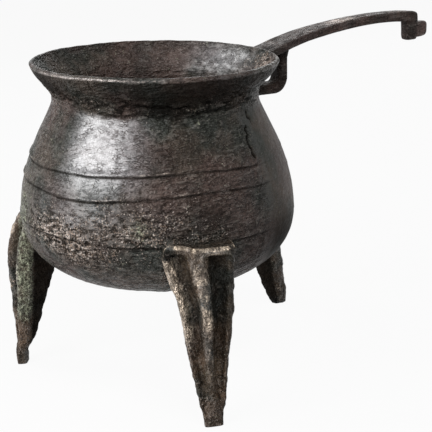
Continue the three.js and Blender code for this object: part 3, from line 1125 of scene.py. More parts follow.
    def _relief(self, wall: Wall, zones: Zones) -> Array:
        """Height of the cast skin over the smooth wall in millimetres, before it eases out at the lip.

        It adds up a slow sway that only goes inwards, lumps, fine grain, crinkles,
        the rough metal in the neck and at the leg, gas pits, cracks, fillets and seams.

        Args:
            wall: The smooth wall.
            zones: Its zones.

        Returns:
            Array (rows, columns).
        """
        flat, level, outer = wall.flat, wall.level, wall.outer
        plain = 1.0 - zones.sleek
        relief = (self.sway.at(flat) - 1.0) * self.sway_height * outer * smooth((92.0 - level) / 20.0)
        relief += self.lumps.at(flat) * self.lump_height
        relief += (self.inner_lumps.at(flat) * self.inner_lump_height + 0.5) * (1.0 - outer)
        grain_height = 0.15 + 0.13 * smooth((20.0 - level) / 30.0) + 0.14 * zones.tan
        relief += self.sand.at(flat) * grain_height * (0.25 + 0.75 * plain)
        crinkled = self.crinkles.at(flat * [0.6, 0.6, 1.1]) * smooth((40.0 + level) / 30.0)
        relief += self.crinkle_height * crinkled * (0.2 + 0.8 * plain) * outer
        ridged = self.rough_height * self.rough_metal.at(flat)
        relief += zones.pad * self.pad_height + zones.rough * ridged + zones.neck * (0.8 + ridged)
        relief -= self.cleft_depth * zones.clefts + self.crease_depth * zones.crease + zones.slit
        relief -= self.pit_depth * self.pits.at(flat) * (0.3 + 0.7 * plain)
        relief += self.fillet_height * zones.raised - self.crack_depth * zones.crack
        for seam in self.seam_azimuths:
            away = np.radians(turned_from(wall.azimuth, seam)) * wall.radius
            relief += self.seam_height * bell(away, self.seam_width) * outer * (level < self.seam_top)
        return relief

    def _marks(self, wall: Wall, zones: Zones) -> Marks:
        """Rubbed lip, crusts, verdigris, wax, painted highlights on the lip, fillets and neck edge, and
        painted shade.

        Args:
            wall: The smooth wall.
            zones: Its zones.

        Returns:
            The marks, arrays (rows, columns).
        """
        azimuth, level, outer, low = wall.azimuth, wall.level, wall.outer, wall.low
        inner = 1.0 - outer
        lip = bell(level - self.rim_rise, 0.6) * (outer > 0.4)
        patchy = 0.1 + wall.under(self.rubbed_lip_and_highlight) + 0.8 * Grain(11.0, 3, seed=23).at(wall.flat)
        worn = lip * np.clip(patchy, 0, 1.3)
        inner_crust = wall.under(self.inner_crust) * inner
        # A lighter crusty band just under the neck line: a painted highlight on the shoulder's upper edge.
        lit_neck_edge = bell(level - low + 2.0, 1.3) * outer
        flare = smooth((level - 70.0) / 5.0) * outer * (level < self.rim_rise - 1.0)
        crusts = [zones.tan, 0.4 * zones.neck, 0.3 * lit_neck_edge, 0.6 * zones.rough, inner_crust]
        # Painted shade in the cracks, under the neck crust's fold, in the slit and clefts, under the
        # fillets and on and under the flare; besides, darker body patches and a slightly darker smooth
        # right side.
        painted_shade = [
            zones.crack, 0.75 * zones.crease, zones.slit, 0.85 * zones.clefts, 0.8 * zones.fillet_shadow,
            wall.at_neck(self.neck_shade),
            wall.under(self.throat_shade) * outer,
            (0.25 + wall.under(self.flare_shade)) * flare,
            wall.under(self.left_flare_shade) * flare,
            (wall.under(*self.body_darkening) + 0.2 * zones.sleek) * outer,
        ]
        front_wax = band(azimuth, 192.0, 16.0, 246.0, 22.0) * band(level, 20.0, 20.0, low, 5.0) * outer
        return {
            # The fillets' tops are lightened here as a painted highlight.
            Mark.WORN: np.max([worn, 0.4 * zones.raised**4, 0.4 * inner_crust], axis=0),
            Mark.CRUST: np.max([*crusts, wall.under(self.low_crust) * outer], axis=0),
            Mark.GREEN: wall.under(*self.verdigris) * outer,
            Mark.DARK: np.max(painted_shade, axis=0),
            Mark.SLEEK: np.max([zones.sleek, 0.2 * inner, wall.under(self.rubbed_shoulder)], axis=0),
            Mark.WAX: front_wax + wall.under(*self.outer_wax) * outer
            + wall.under(self.inner_wax) * inner + 0.7 * worn,
        }

    def build(self) -> bpy.types.Object:
        """Lay the relief along the wall's normals, wave the rim and dress the piece.

        The relief eases out at the lip, and the rim's waves only go down.

        Returns:
            The piece.
        """
        wall = self.smooth_wall()
        zones = self._zones(wall)
        kept = 1.0 - 0.7 * smooth((wall.level - self.rim_rise + 4.0) / 4.0)
        relief = self._relief(wall, zones) * kept
        points = wall.flat + surface_normals(wall.flat) * relief[..., None]
        waves = (self.rim_waves.at(wall.flat * [1, 1, 0]) - 1.7) * self.wave_height
        waves -= 0.2 * (1.0 + np.cos(np.radians(wall.azimuth - 30.0)))
        points[..., 2] += waves * smooth((wall.level - 74.0) / 13.0)
        piece = closed_skin("bowl_skin", self.setting.to_part(points), self._marks(wall, zones))
        dress(piece, self.finish, "bowl")
        return piece


class Stand(Enum):
    """Which leg it is. The value shifts its relief, so that no two legs are alike."""

    LEFT = 1
    FRONT = 2
    BACK = 3


@dataclass
class Leg:
    """A tapering wedge with a middle rib and two side ribs, on a blunt foot.

    Attributes:
        stand: Which leg it is.
        foot_radius: Distance of its foot from the belly's middle.
        azimuth: Direction of its foot in degrees.
        turn: How far it faces away from that direction, in degrees.
        aside: How far its top lies to the right of its foot.
        breadth: Its width against the others.
        worn_off: How much of its foot is worn away.
        plain_top: Height of the straight front over the grooves.
        root_spread: How far the left rib swings out at its root.
        rib_shift: How far the top of the middle rib leans left.
        ledge_lift: How far the ledge's left end rises.
        heel: How far the foot's right side swells and the ankle's left side draws in.
        rib_steps: How far the side ribs lie behind the middle one: at the sole, higher up, and from where.
        flank_steps: The same for the flanks behind the side ribs.
        relief: The layers of its skin, each with its height.
    """

    stand: Stand
    foot_radius: float
    azimuth: float
    turn: float
    aside: float = 0.0
    breadth: float = 1.0
    worn_off: float = 0.0
    plain_top: float = 12.0
    root_spread: float = 0.0
    rib_shift: float = 0.0
    ledge_lift: float = 0.0
    heel: float = 0.0
    sole_depth: float = 6.8
    sole_width: float = 9.8
    ankle_height: float = 20.0
    ankle_waist: float = 2.0
    full_height: float = 94.8
    full_width: float = 37.0
    flare: float = 0.92
    shoulder_drop: float = 10.8
    wedge_slope: float = 0.41
    back_width: float = 6.0
    rib_steps: Triple = (1.5, 8.0, 75.0)
    flank_steps: Triple = (4.0, 9.0, 50.0)
    groove_depth: float = 2.6
    groove_height: float = 30.0
    ledge_drop: float = 2.0
    relief: tuple[tuple[Grain, float], ...] = (
        (Grain(26.0, 2, seed=41), 0.6), (Grain(9.0, 3, seed=43), 1.1), (Grain(3.4, 2, seed=47), 0.5),
    )
    pits: Pits = Pits(9.0, 1.8, seed=53)
    pit_depth: float = 0.6
    patches: Grain = Grain(11.0, 3, seed=59)
    rows: int = 190
    columns: int = 168

    @property
    def name(self) -> str:
        """Name of its solid."""
        return f"leg_{self.stand.name.lower()}"

    @property
    def barred(self) -> bool:
        """Whether the leg's top is a bar that stands out from the bowl, and not a plain end."""
        return self.plain_top < 6.0

    def side(self, z: Array, grooved: Array) -> Array:
        """Corners of half a section at heights z: rib, groove, side rib, flank and wedge.

        Args:
            z: Heights over a whole foot's sole, (rows,).
            grooved: 1 where the grooves are open, 0 on the ledge, (rows,).

        Returns:
            Array (rows, 11, 2): outwards and across.
        """
        crest = (
            self.sole_depth / 2
            - self.ankle_waist * smooth(z / self.ankle_height)
            - self.shoulder_drop * (z / self.full_height) ** 6
        )
        at_sole, higher, full = self.rib_steps
        proud = 1.0 - 0.6 * smooth((z - 82.0) / 9.0) * self.barred
        ridge = crest - mixed(at_sole, higher, smooth(z / full)) * proud
        at_sole, higher, full = self.flank_steps
        flank = ridge - mixed(at_sole, higher, smooth(z / full))
        inner = -self.sole_depth / 2 - self.wedge_slope * z
        half = mixed(self.sole_width, self.full_width, (z / self.full_height) ** self.flare) / 2
        floor = ridge - self.groove_depth * smooth(z / self.groove_height)

        def in_groove(share: float, low: Array) -> tuple[Array, Array]:
            """A corner that lies in the groove, or on the straight front of the ledge."""
            return mixed(mixed(crest, ridge, share), low, grooved), half * share

        corners = [
            (crest, half * 0.09),
            in_groove(0.2, mixed(crest, floor, 0.15)),
            in_groove(0.3, mixed(crest, floor, 0.75)),
            in_groove(0.45, floor),
            in_groove(0.6, floor),
            in_groove(0.74, mixed(floor, ridge, 0.8)),
            (ridge, half * 0.87),
            (mixed(ridge, flank, 0.2), half),
            (flank, half * 0.97),
            (mixed(flank, inner, 0.2), half * 0.72),
            (inner, np.minimum(self.back_width, half) / 2),
        ]
        return np.stack([np.stack(corner, axis=-1) for corner in corners], axis=1)

    def outlines(self, z: Array, grooved: Array) -> Array:
        """Closed outlines, growing from the foot's blunt block into the ribbed section.

        Args:
            z: Heights over a whole foot's sole, (rows,).
            grooved: 1 where the grooves are open, 0 on the ledge, (rows,).

        Returns:
            Array (rows, columns, 2): outwards and across.
        """
        side = self.side(z, grooved)
        count = side.shape[1]
        angle = (np.arange(count) + 0.5) / count * np.pi
        blunt = np.stack([np.cos(angle), np.sin(angle)], axis=-1)
        blunt = np.sign(blunt) * np.sqrt(np.abs(blunt)) * [self.sole_depth / 2, self.sole_width / 2]
        side = mixed(blunt, side, smooth(z / self.ankle_height)[:, None, None])
        corners = np.concatenate([side, side[:, ::-1] * [1, -1]], axis=1)
        return blended_outline(2 * count, self.columns) @ corners

    def _levels(self, height: float) -> tuple[Array, Array]:
        """Rows of the mesh: four that close the sole, the body, and four that close the top.

        Args:
            height: Height of the ledge over the foot.

        Returns:
            Height over the floor and size of the outline, (rows,) each.
        """
        body = np.linspace(0.0, height, self.rows)
        rise = np.concatenate([np.zeros(4), body, np.full(4, height)])
        inset = np.concatenate([[0.25, 0.55, 0.78, 0.92], np.ones(self.rows), [0.9, 0.7, 0.45, 0.2]])
        inset[4:6] = [0.98, 0.995]
        inset[4:-4] -= 0.05 * np.clip(1.0 - (height - body) / 1.5, 0.0, 1.0) ** 2
        return rise, inset

    def _across(self, across: Array, z: Array) -> Array:
        """Widen and lean the leg, spread its left rib, lean its middle rib and swell its heel.

        Args:
            across: Where the outline's points lie across the leg, (rows, columns, 1).
            z: Heights over a whole foot's sole, (rows, 1, 1).

        Returns:
            Where they come to lie, (rows, columns, 1).
        """
        left, right = smooth(-across / 8.0), smooth(across / 3.0)
        swing = smooth((z - 60.0) / 26.0) - 0.7 * smooth((z - 87.0) / 6.0)
        moved = across * self.breadth + self.aside * smooth(z / self.full_height)
        moved = moved - left * self.root_spread * swing
        moved = moved - bell(across, 7.0) * self.rib_shift * smooth((z - 56.0) / 34.0)
        moved = moved + right * self.heel * bell(z - 11.0, 7.0)
        return moved + left * self.heel * bell(z - 22.0, 8.0)

    def build(self, bowl: Bowl, finish: Patina) -> bpy.types.Object:
        """Stand the wedge on its sole and let its top end under the bowl's lowest fillet.

        Heights are stretched towards the leaning ledge level, the relief is
        laid along the normals, and what lies inside the bowl is pushed out
        into its wall.

        Args:
            bowl: The bowl that the leg is cast onto.
            finish: Its patina.

        Returns:
            The piece.
        """
        azimuth, facing = np.radians(self.azimuth), np.radians(self.azimuth + self.turn)
        outwards = np.array([np.cos(facing), np.sin(facing), 0.0])
        aside = np.array([-np.sin(facing), np.cos(facing), 0.0])
        reach = self.foot_radius * np.array([np.cos(azimuth), np.sin(azimuth), 0.0])
        foot = np.array([*bowl.setting.middle, 0.0]) + reach
        top = float(bowl.setting.ledge_height(foot, self.ledge_drop))
        rise, inset = self._levels(top)
        z = rise + self.worn_off
        outline = self.outlines(z, 1.0 - smooth((rise - (top - self.plain_top)) / 2.4))
        middle = outline.mean(axis=1, keepdims=True)
        outline = middle + (outline - middle) * inset[:, None, None]
        across = self._across(outline[..., 1:], z[:, None, None])
        points = foot + outline[..., :1] * outwards + across * aside
        level = bowl.setting.ledge_height(points, self.ledge_drop)
        level += self.ledge_lift * (0.8 + 0.4 * smooth(-outline[..., 1] / 8.0))
        level -= 0.1 * np.maximum(outline[..., 0] + 20.0, 0.0) * self.barred
        up = rise[:, None] * mixed(1.0, level / top, rise[:, None] / top)
        points[..., 2] = up
        spots = points + self.stand.value * LEG_SHIFT
        relief = sum(grain.at(spots) * height for grain, height in self.relief)
        relief -= self.pit_depth * self.pits.at(spots)
        settled = smooth(up / 6.0) * (0.25 + 0.75 * smooth((top - up) / 4.0))
        points = points + surface_normals(points) * (relief * settled - 0.2)[..., None]
        points[..., 2] = np.maximum(points[..., 2], 0.0)
        points[rise <= 0.0, :, 2] = 0.0
        points = bowl.push_out(points)
        points[..., 2] = np.where(points[..., 2] < 1e-6, 0.0, points[..., 2])
        depths = self.side(z, np.ones_like(z))[:, [0, 6, 8], 0]
        marks = self._marks(outline, z[:, None] * np.ones(self.columns), spots, depths)
        gap = bowl.clearance(points)
        # Painted shade where the leg meets the bowl.
        marks[Mark.DARK] = np.maximum(marks[Mark.DARK], 0.9 * bell(gap, 0.7))
        marks[Mark.WORN] = np.maximum(marks[Mark.WORN], 0.6 * bell(gap - 1.6, 0.6))
        marks[Mark.WORN][-4:] *= 0.15
        marks[Mark.DARK][-4:] = 0.5
        piece = closed_skin(f"{self.name}_skin", points, marks)
        dress(piece, finish, self.name)
        return piece

    def _marks(self, outline: Array, z: Array, spots: Array, depths: Array) -> Marks:
        """Rubbed ribs and ledge, partly as painted highlight; painted shade in the grooves and on the inner
        faces; each leg's own deposits.

        Args:
            outline: Outwards and across for each point, (rows, columns, 2).
            z: Heights over a whole foot's sole, (rows, columns).
            spots: Points for the patchiness, (rows, columns, 3).
            depths: How far out the rib, the side rib and the flank lie, (rows, 3).

        Returns:
            The marks, arrays (rows, columns).
        """
        out, across = outline[..., 0], outline[..., 1]
        crest, ridge, flank = (depths[:, k : k + 1] for k in range(3))
        half = np.abs(across).max(axis=1, keepdims=True)
        patchy = np.clip(0.5 + 1.2 * self.patches.at(spots), 0, 1)
        upper = smooth((z - 26.0) / 20.0)
        rib = bell(crest - out, 2.4)
        side_rib = bell(ridge - out, 1.6) * smooth((np.abs(across) / half - 0.78) / 0.1)
        groove = smooth((crest - out - 2.6) / 2.4) * smooth((0.82 - np.abs(across) / half) / 0.1)
        groove *= out > ridge - 5.0
        behind = smooth((flank - 0.5 - out) / 2.0)
        on_ledge = smooth((z - 91.0) / 1.2) * self.barred
        # The ribs are lightened as rubbed metal, which also stands for a painted highlight along them.
        worn = (0.75 * rib + 0.5 * side_rib) * patchy * upper + 0.15 * patchy * upper
        on_bar = on_ledge * (0.55 + 0.4 * patchy) * smooth((across + 0.85 * half) / 4.0)
        worn = np.maximum(worn * (1.0 - on_ledge), on_bar)
        # Painted shade in the grooves and on the inner faces behind the flanks.
        dark = np.maximum(0.6 * groove * upper * (1.0 - on_ledge), 0.85 * behind)
        crust, green = 0.5 * patchy, np.zeros_like(z)
        if self.stand is Stand.LEFT:
            side = smooth((across - 3.0) / 3.0) * (1.0 - behind)
            green = side * smooth((z - 24.0) / 14.0) * (0.6 + 0.4 * patchy)
        if self.stand is Stand.FRONT:
            left = bell(across / half + 0.86, 0.34) * (out > flank - 1.5) * (1.0 - on_ledge)
            dark = dark * (1.0 - 0.9 * left)
            crust = np.maximum(crust, left * bell(z - 82.0, 9.0))
            # The left rib is lightened further, partly as a painted highlight on the side that faces the
            # light.
            worn = np.maximum(worn, left * smooth((z - 36.0) / 16.0) * (0.7 + 0.3 * patchy))
            green = 0.7 * np.exp(-((((across / half + 0.7) / 0.12) ** 2) + ((z - 60.0) / 8.0) ** 2))
            corner = left * smooth((z - 85.0) / 4.0) + 0.7 * smooth(across / half / 0.3) * side_rib
            worn, dark = worn * (1.0 - 0.8 * np.clip(corner, 0, 1)), np.maximum(dark, 0.7 * corner)
            side_rib = np.maximum(side_rib, left) * (1.0 - np.clip(corner, 0, 1))
        wax = (0.3 * rib + 0.5 * side_rib) * (0.2 + 0.8 * patchy) * upper
        return {Mark.WORN: worn, Mark.GREEN: green, Mark.CRUST: crust, Mark.DARK: dark, Mark.WAX: wax}


@dataclass
class Handle:
    """The arched strap, the brace under it, and the hook with its knob.

    Reaches are over the rim's radius and rises over the rim. The line holds
    points of the strap's upper side as (reach, rise).
    """

    bowl: Bowl
    finish: Patina
    line: Line = ((-11, -3.1), (0, -0.2), (27, 7.8), (69, 14.2), (99, 15.3), (116, 14.1))
    root_width: float = 22.5
    end_width: float = 8.5
    root_thickness: float = 4.8
    end_thickness: float = 6.7
    hook_reach: float = 107.0
    hook_thickness: float = 9.6
    hook_drop: float = 18.6
    hook_width: float = 8.4
    hook_shift: float = 0.9
    hook_lift: float = 0.4
    knob_length: float = 7.0
    knob_root: float = 5.0
    knob_height: float = 10.0
    knob_width: float = 7.6
    knob_rise: float = 0.2
    knob_shift: float = 1.5
    knob_lift: float = 1.5
    brace_reach: float = 17.0
    brace_thickness: float = 7.2
    brace_width: float = 12.0
    brace_drop: float = 6.4
    brace_corner: float = 10.0
    brace_root: float = 3.0
    strap_power: float = 7.0
    brace_power: float = 3.4
    lump_power: float = 3.6
    lumps: Grain = Grain(12.0, 3, seed=61)
    fine: Grain = Grain(3.0, 2, seed=67)
    streaks: Grain = Grain(2.4, 3, seed=71)
    streak_height: float = 0.10
    strap_patches: Grain = Grain(16.0, 3, seed=73)
    brace_patches: Grain = Grain(10.0, 3, seed=79)
    strap_rows: int = 260
    strap_columns: int = 72
    lump_rows: int = 44
    columns: int = 56

    @property
    def end_rise(self) -> float:
        """Height of the strap's end over the widest ring."""
        return self.bowl.rim_rise + self.line[-1][1]

    def top_line(self, rows: int) -> tuple[Array, Array]:
        """The strap's upper line and its direction, at even steps.

        Between two named points the line is a cubic made of nested straight
        blends of four points, whose knots lie the square roots of the
        distances between them apart.

        Args:
            rows: How many points the line gets.

        Returns:
            Points (rows, 2) as reach and rise, and unit directions (rows, 2).
        """
        spots = np.array(self.line, dtype=float) + [self.bowl.rim_radius, self.bowl.rim_rise]
        spots = np.concatenate([2 * spots[:1] - spots[1:2], spots, 2 * spots[-1:] - spots[-2:-1]])
        knots = np.append(0.0, np.cumsum(np.sqrt(np.linalg.norm(np.diff(spots, axis=0), axis=1))))
        pieces = []
        for k in range(1, len(spots) - 2):
            t = np.linspace(knots[k], knots[k + 1], 60, endpoint=k == len(spots) - 3)[:, None]
            a, b, c, d = spots[k - 1 : k + 3]
            ta, tb, tc, td = knots[k - 1 : k + 3]
            ab = a + (b - a) * (t - ta) / (tb - ta)
            bc = b + (c - b) * (t - tb) / (tc - tb)
            cd = c + (d - c) * (t - tc) / (td - tc)
            abc = ab + (bc - ab) * (t - ta) / (tc - ta)
            bcd = bc + (cd - bc) * (t - tb) / (td - tb)
            pieces.append(abc + (bcd - abc) * (t - tb) / (tc - tb))
        path = np.concatenate(pieces)
        run = run_along(path)
        line = picked(path, run, np.linspace(0.0, run[-1], rows))
        way = np.gradient(line, axis=0)
        return line, way / np.linalg.norm(way, axis=1, keepdims=True)

    def build(self) -> list[bpy.types.Object]:
        """Build and dress the four members."""
        return [self.strap(), self.brace(), self.hook(), self.knob()]

    def _relief(self, points: Array, lump: float, fine: float) -> Array:
        """Points moved along their normals by a coarse and a fine relief."""
        relief = self.lumps.at(points) * lump + self.fine.at(points) * fine
        return points + surface_normals(points) * (relief - 0.1)[..., None]

    def _finished(self, name: str, node: str, rings: Array, marks: Marks) -> bpy.types.Object:
        """Move rings of the casting into place, push them out of the bowl and dress them.

        Args:
            name: Name of the piece.
            node: The solid that it replaces.
            rings: Array (rows, columns, 3) in the casting's frame.
            marks: Its marks, arrays (rows, columns).

        Returns:
            The piece.
        """
        points = self.bowl.push_out(self.bowl.setting.to_part(rings))
        piece = closed_skin(name, points, marks)
        dress(piece, self.finish, node)
        return piece

    def strap(self) -> bpy.types.Object:
        """The strap: a superellipse carried along its line, flat at the rim and deeper at the hook.

        Across, it is half the width times the outline. Down, the middle of
        the section lies half a thickness under the upper line.

        Returns:
            The piece.
        """
        line, way = self.top_line(self.strap_rows)
        t = np.linspace(0.0, 1.0, self.strap_rows)
        half = mixed(self.root_width, self.end_width, smooth(t)) / 2
        thickness = mixed(self.root_thickness, self.end_thickness, t)
        stop = line[:, 0] < self.bowl.rim_radius + self.hook_reach + 4.0
        line, way, half, thickness = line[stop], way[stop], half[stop], thickness[stop]
        outline = superellipse(self.strap_columns, self.strap_power)
        across = outline[None, :, 0] * half[:, None]
        dome = 0.7 * (outline[None, :, 0] ** 2) * (outline[None, :, 1] > 0)
        down = (1.0 - outline[None, :, 1]) * thickness[:, None] / 2 + dome + 0.1
        reach = line[:, :1] + way[:, 1:] * down
        rise = line[:, 1:] - way[:, :1] * down
        rings = np.stack([reach, across, rise], axis=-1)[:, ::-1]
        streaks = self.streaks.at(rings * [0.16, 1.0, 1.0])
        rings = self._relief(rings, 0.16, 0.06)
        rings += surface_normals(rings) * (streaks * self.streak_height)[..., None]
        top = smooth((outline[::-1, 1] - 0.9) / 0.08)[None, :] * np.ones((len(rings), 1))
        patchy = np.clip(0.5 + 0.8 * self.strap_patches.at(rings), 0, 1)
        # A painted highlight spot on the strap's top.
        highlight_spot = bell(rings[..., 0] - 126.0, 16.0)
        # The top is rubbed lighter, partly as painted light on the face that the lamps fall on.
        worn = top * (0.3 + 0.6 * streaks) * patchy + 0.45 * top * highlight_spot
        # Painted shade on the strap's sides and in the low streaks of its top.
        side_and_groove_shade = 0.35 * (1.0 - top) + top * np.clip(0.35 - 0.9 * streaks, 0.0, 0.8) * (1.0 - 0.6 * highlight_spot)
        marks = {Mark.WORN: worn, Mark.CRUST: 0.25 * top * patchy, Mark.DARK: side_and_groove_shade}
        return self._finished("handle_strap_skin", "handle_strap", rings, marks)

    def brace(self) -> bpy.types.Object:
        """The bent bar: out from the neck, round its corner and up into the strap.

        The bar's middle runs straight, round a quarter of a circle and
        straight again, and its section stands square to it.

        Returns:
            The piece.
        """
        bend = self.brace_corner - self.brace_thickness / 2
        corner_reach = self.bowl.rim_radius + self.brace_reach - self.brace_corner
        corner_rise = self.bowl.neck_rise - self.brace_drop + self.brace_corner
        start = self.bowl.neck_radius - self.brace_root
        turn = np.linspace(0.0, np.pi / 2, 24)
        out = np.linspace(start, corner_reach, 24)[:-1]
        up = np.linspace(corner_rise, self.bowl.rim_rise, 26)[1:]
        reach = np.concatenate([out, corner_reach + bend * np.sin(turn), np.full(25, corner_reach + bend)])
        rise = np.concatenate([np.full(23, corner_rise - bend), corner_rise - bend * np.cos(turn), up])
        angle = np.concatenate([np.zeros(23), turn, np.full(25, np.pi / 2)])
        run = np.linspace(0.0, 1.0, len(reach))
        spread = 1.0 + 0.22 * smooth((run - 0.86) / 0.14) + 0.3 * smooth((0.2 - run) / 0.2)
        outline = superellipse(self.columns, self.brace_power)
        depth = outline[None, :, 0] * self.brace_thickness / 2 * spread[:, None]
        across = outline[None, :, 1] * self.brace_width / 2 * spread[:, None]
        reach = reach[:, None] + depth * np.sin(angle)[:, None]
        rise = rise[:, None] - depth * np.cos(angle)[:, None]
        rings = self._relief(np.stack([reach, across, rise], axis=-1), 0.3, 0.12)
        top, _ = self.top_line(200)
        limit = np.interp(rings[..., 0], top[:, 0], top[:, 1]) - 2.0
        rings[..., 2] = np.minimum(rings[..., 2], limit)
        patchy = np.clip(0.4 + 0.8 * self.brace_patches.at(rings), 0, 1)
        # The brace is darkened all over as painted shade under the strap.
        marks = {Mark.WORN: 0.3 * patchy, Mark.CRUST: 0.3 * patchy, Mark.DARK: np.full(patchy.shape, 0.6)}
        return self._finished("handle_brace_skin", "handle_brace", rings, marks)

    def _lump(self, length: float, half_a: float, half_b: float, power: float) -> tuple[Array, ...]:
        """A rounded block about its own axis: superellipses that close in towards both ends.

        The section's size at a share s of the length, from -1 to 1, is
        (1 - |s|^p)^(1/p).

        Args:
            length: Its length.
            half_a: Half its size one way across.
            half_b: Half its size the other way.
            power: The p above.

        Returns:
            Place along the axis (rows,), and the two coordinates across it (rows, columns).
        """
        turn = np.linspace(-1.0, 1.0, self.lump_rows) * np.pi / 2
        along = np.sign(turn) * np.abs(np.sin(turn)) ** (2.0 / power)
        size = np.maximum(np.cos(turn), 0.0) ** (2.0 / power)
        outline = superellipse(self.columns, self.lump_power) * size[:, None, None] * [half_a, half_b]
        return along * length / 2, outline[..., 0], outline[..., 1]

    def hook(self) -> bpy.types.Object:
        """The block that turns down at the strap's end.

        Returns:
            The piece.
        """
        top = self.end_rise + self.hook_lift
        along, a, b = self._lump(self.hook_drop, self.hook_thickness / 2, self.hook_width / 2, 6.0)
        middle = self.bowl.rim_radius + self.hook_reach + self.hook_thickness / 2 + self.hook_shift
        rise = (top - self.hook_drop / 2 + along)[:, None]
        fall = 0.14 * a * smooth(along / self.hook_drop + 0.5)[:, None]
        corner = 0.5 * smooth((rise - top + self.end_thickness + 5.0) / 5.0) ** 2 * smooth(-a / 4.0)
        rings = np.stack([middle + a - corner, b, rise - fall + np.zeros_like(a)], axis=-1)
        rings = self._relief(rings, 0.35, 0.12)
        marks = {Mark.WORN: np.full(a.shape, 0.15), Mark.DARK: np.full(a.shape, 0.4)}
        return self._finished("handle_hook_skin", "handle_hook", rings, marks)

    def knob(self) -> bpy.types.Object:
        """The blunt knob that points outwards from the hook.

        Returns:
            The piece.
        """
        length = self.knob_length + self.knob_root
        along, a, b = self._lump(length, self.knob_height / 2, self.knob_width / 2, 4.5)
        root = self.bowl.rim_radius + self.hook_reach + self.hook_thickness + self.knob_shift
        tip = root + self.knob_length
        low = self.end_rise + self.knob_lift - self.hook_drop + self.knob_rise
        reach = (tip - length / 2 + along)[:, None] + np.zeros_like(a)
        tilt = 0.12 * (reach - tip + self.knob_length)
        rings = self._relief(np.stack([reach, b, low + self.knob_height / 2 - a + tilt], axis=-1), 0.3, 0.1)
        return self._finished("handle_knob_skin", "handle_knob", rings, {Mark.WORN: np.full(a.shape, 0.25)})


def dress(piece: bpy.types.Object, finish: Patina, node: str) -> None:
    """Give a piece its finish and let it stand for its solid.

    Args:
        piece: The new piece.
        finish: Its patina.
        node: The solid that it replaces.
    """
    material = bpy.data.materials.get(finish.name) or finish.material()
    piece.data.materials.append(material)
    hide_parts(node)
    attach(piece, ROOT)
    LOG.info("%s: %d points", piece.name, len(piece.data.vertices))


# Studio


def posed(right: Array, up: Array, back: Array, spot: Array) -> Matrix:
    """Pose of a thing at a spot, whose x, y and z axes are its right, up and back."""
    rows = [[float(column[k]) for column in (right, up, back, spot)] for k in range(3)]
    return Matrix(rows + [[0, 0, 0, 1]])


@dataclass(frozen=True)
class Lamp:
    """A soft box that faces the pot.

    Attributes:
        name: Its name.
        azimuth: Its direction from the pot in degrees.
        elevation: Its height in degrees.
        distance: Its distance in metres.
        width: Its width in metres.
        height: Its height in metres.
        level: Radiance of its face, where 1 is white.
    """

    name: str
    azimuth: float
    elevation: float
    distance: float
    width: float
    height: float
    level: float

    def build(self, setting: Setting) -> None:
        """Hang the lamp. Its power is pi times its area times its level.

        Args:
            setting: Where the pot stands.
        """
        data = bpy.data.lights.new(self.name, "AREA")
        data.shape = "RECTANGLE"
        data.size = self.width
        data.size_y = self.height
        data.energy = np.pi * self.width * self.height * self.level
        lamp = bpy.data.objects.new(self.name, data)
        a, e = np.radians(self.azimuth), np.radians(self.elevation)
        back = np.array([np.cos(e) * np.cos(a), np.cos(e) * np.sin(a), np.sin(e)])
        side = np.array([-np.sin(a), np.cos(a), 0.0])
        spot = setting.origin * MM + back * self.distance
        lamp.matrix_world = posed(side, np.cross(back, side), back, spot)
        bpy.context.scene.collection.objects.link(lamp)


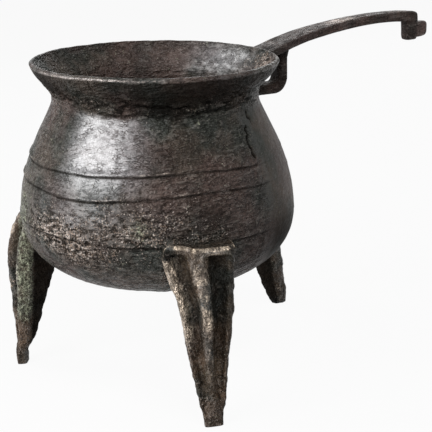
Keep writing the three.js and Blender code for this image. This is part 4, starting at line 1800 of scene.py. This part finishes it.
@dataclass
class Studio:
    """The floor, the soft light and the camera.

    Attributes:
        setting: Where the pot stands.
        eye: The camera's place from the belly's middle on the floor.
        right: Direction of the picture's right side.
        down: Direction of its lower side.
        ahead: Viewing direction.
        lens: Focal length.
        sensor: Width of the film.
        shift: How far the film is shifted, in widths of it.
        floor_reach: Half the floor's side in metres.
        paper: Colour of the floor in mirrors and to the light.
        dimmed: Strength of the surroundings that light the pot.
        lamps: The soft boxes.
    """

    setting: Setting
    eye: Triple = (-298.77, -619.99, 296.08)
    right: Triple = (0.85937, -0.50163, -0.09923)
    down: Triple = (-0.22956, -0.20507, -0.95144)
    ahead: Triple = (0.45692, 0.84042, -0.29139)
    lens: float = 101.26
    sensor: float = 36.0
    shift: tuple[float, float] = (-0.0014, 0.0002)
    floor_reach: float = 20.0
    paper: Triple = (0.55, 0.55, 0.55)
    dimmed: float = 0.1
    lamps: tuple[Lamp, ...] = (
        Lamp("lamp_left", 184.0, 21.5, 1.15, 0.9, 0.95, 5.7),
        Lamp("lamp_top", 272.0, 52.0, 1.2, 0.5, 0.4, 11.8),
        Lamp("lamp_over", 122.0, 46.0, 1.2, 0.4, 0.4, 7.0),
        Lamp("lamp_behind", 54.0, 22.0, 1.2, 0.6, 0.4, 2.1),
    )

    def build(self) -> None:
        """Set up the camera, the floor, the lamps and the pale surroundings."""
        self._camera()
        self._floor()
        for lamp in self.lamps:
            lamp.build(self.setting)
        self._surroundings()
        bpy.context.scene.view_settings.view_transform = "Standard"

    def _camera(self) -> None:
        """Place the camera from its three directions."""
        data = bpy.data.cameras.new("camera")
        data.sensor_width = self.sensor
        data.lens = self.lens
        data.shift_x, data.shift_y = self.shift
        camera = bpy.data.objects.new("camera", data)
        spot = (np.array([*self.setting.middle, 0.0]) + self.eye) * MM
        camera.matrix_world = posed(np.array(self.right), -np.array(self.down), -np.array(self.ahead), spot)
        bpy.context.scene.collection.objects.link(camera)
        bpy.context.scene.camera = camera

    def _floor(self) -> None:
        """A wide pale floor, white to the camera wherever no shadow falls."""
        mesh = bpy.data.meshes.new("floor")
        corners = np.array([(-1, -1, 0), (1, -1, 0), (1, 1, 0), (-1, 1, 0)]) * self.floor_reach
        mesh.from_pydata(corners.tolist(), [], [(0, 1, 2, 3)])
        floor = bpy.data.objects.new("floor", mesh)
        bpy.context.scene.collection.objects.link(floor)
        material = bpy.data.materials.new("floor_paper")
        bench = Bench(material)
        paper = bench.place("ShaderNodeBsdfDiffuse", {}, {"Color": self.paper})
        glow = bench.place("ShaderNodeEmission", {}, {"Color": (1.0, 1.0, 1.0), "Strength": 1.0})
        share = bench.ray(Ray.SEEN) * 0.94 + (bench.ray(Ray.MIRRORED) + bench.ray(Ray.THROUGH)) * 0.6
        surface = bench.place("ShaderNodeMixShader", {}, {0: share, 1: paper, 2: glow})
        bench.place("ShaderNodeOutputMaterial", {}, {"Surface": surface})
        mesh.materials.append(material)

    def _surroundings(self) -> None:
        """White to the camera, and in mirrors and through glass, but dimmer to the pot."""
        world = bpy.data.worlds.new("surroundings")
        bpy.context.scene.world = world
        bench = Bench(world)
        either = bench.ray(Ray.MIRRORED)
        for kind in (Ray.THROUGH, Ray.SEEN):
            pair = {0: either, 1: bench.ray(kind)}
            either = bench.place("ShaderNodeMath", {"operation": "MAXIMUM"}, pair)
        dim = bench.place("ShaderNodeBackground", {}, {"Strength": self.dimmed})
        white = bench.place("ShaderNodeBackground", {}, {"Strength": 1.0})
        blend = bench.place("ShaderNodeMixShader", {}, {0: either, 1: dim, 2: white})
        bench.place("ShaderNodeOutputWorld", {}, {"Surface": blend})


def main() -> None:
    """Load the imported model, build the pot around it and light it."""
    logging.basicConfig(level=logging.INFO, format="%(message)s")
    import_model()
    setting = Setting.from_frame()
    finishes = Finishes()
    Studio(setting).build()
    bowl = Bowl(setting, finishes.bowl)
    bowl.build()
    legs = [
        Leg(Stand.LEFT, 97.6, 140.9, 6.0),
        Leg(Stand.FRONT, 98.1, 253.6, -9.0, aside=4.2, plain_top=5.4, root_spread=4.5, rib_shift=2.5,
            ledge_lift=3.4, heel=1.4, flare=0.8, shoulder_drop=14.5, sole_width=10.6),
        Leg(Stand.BACK, 105.4, 19.1, 0.0, aside=-1.0, breadth=0.76, worn_off=14.0),
    ]
    for leg in legs:
        leg.build(bowl, finishes.leg)
    Handle(bowl, finishes.handle).build()


if __name__ == "__main__":
    main()
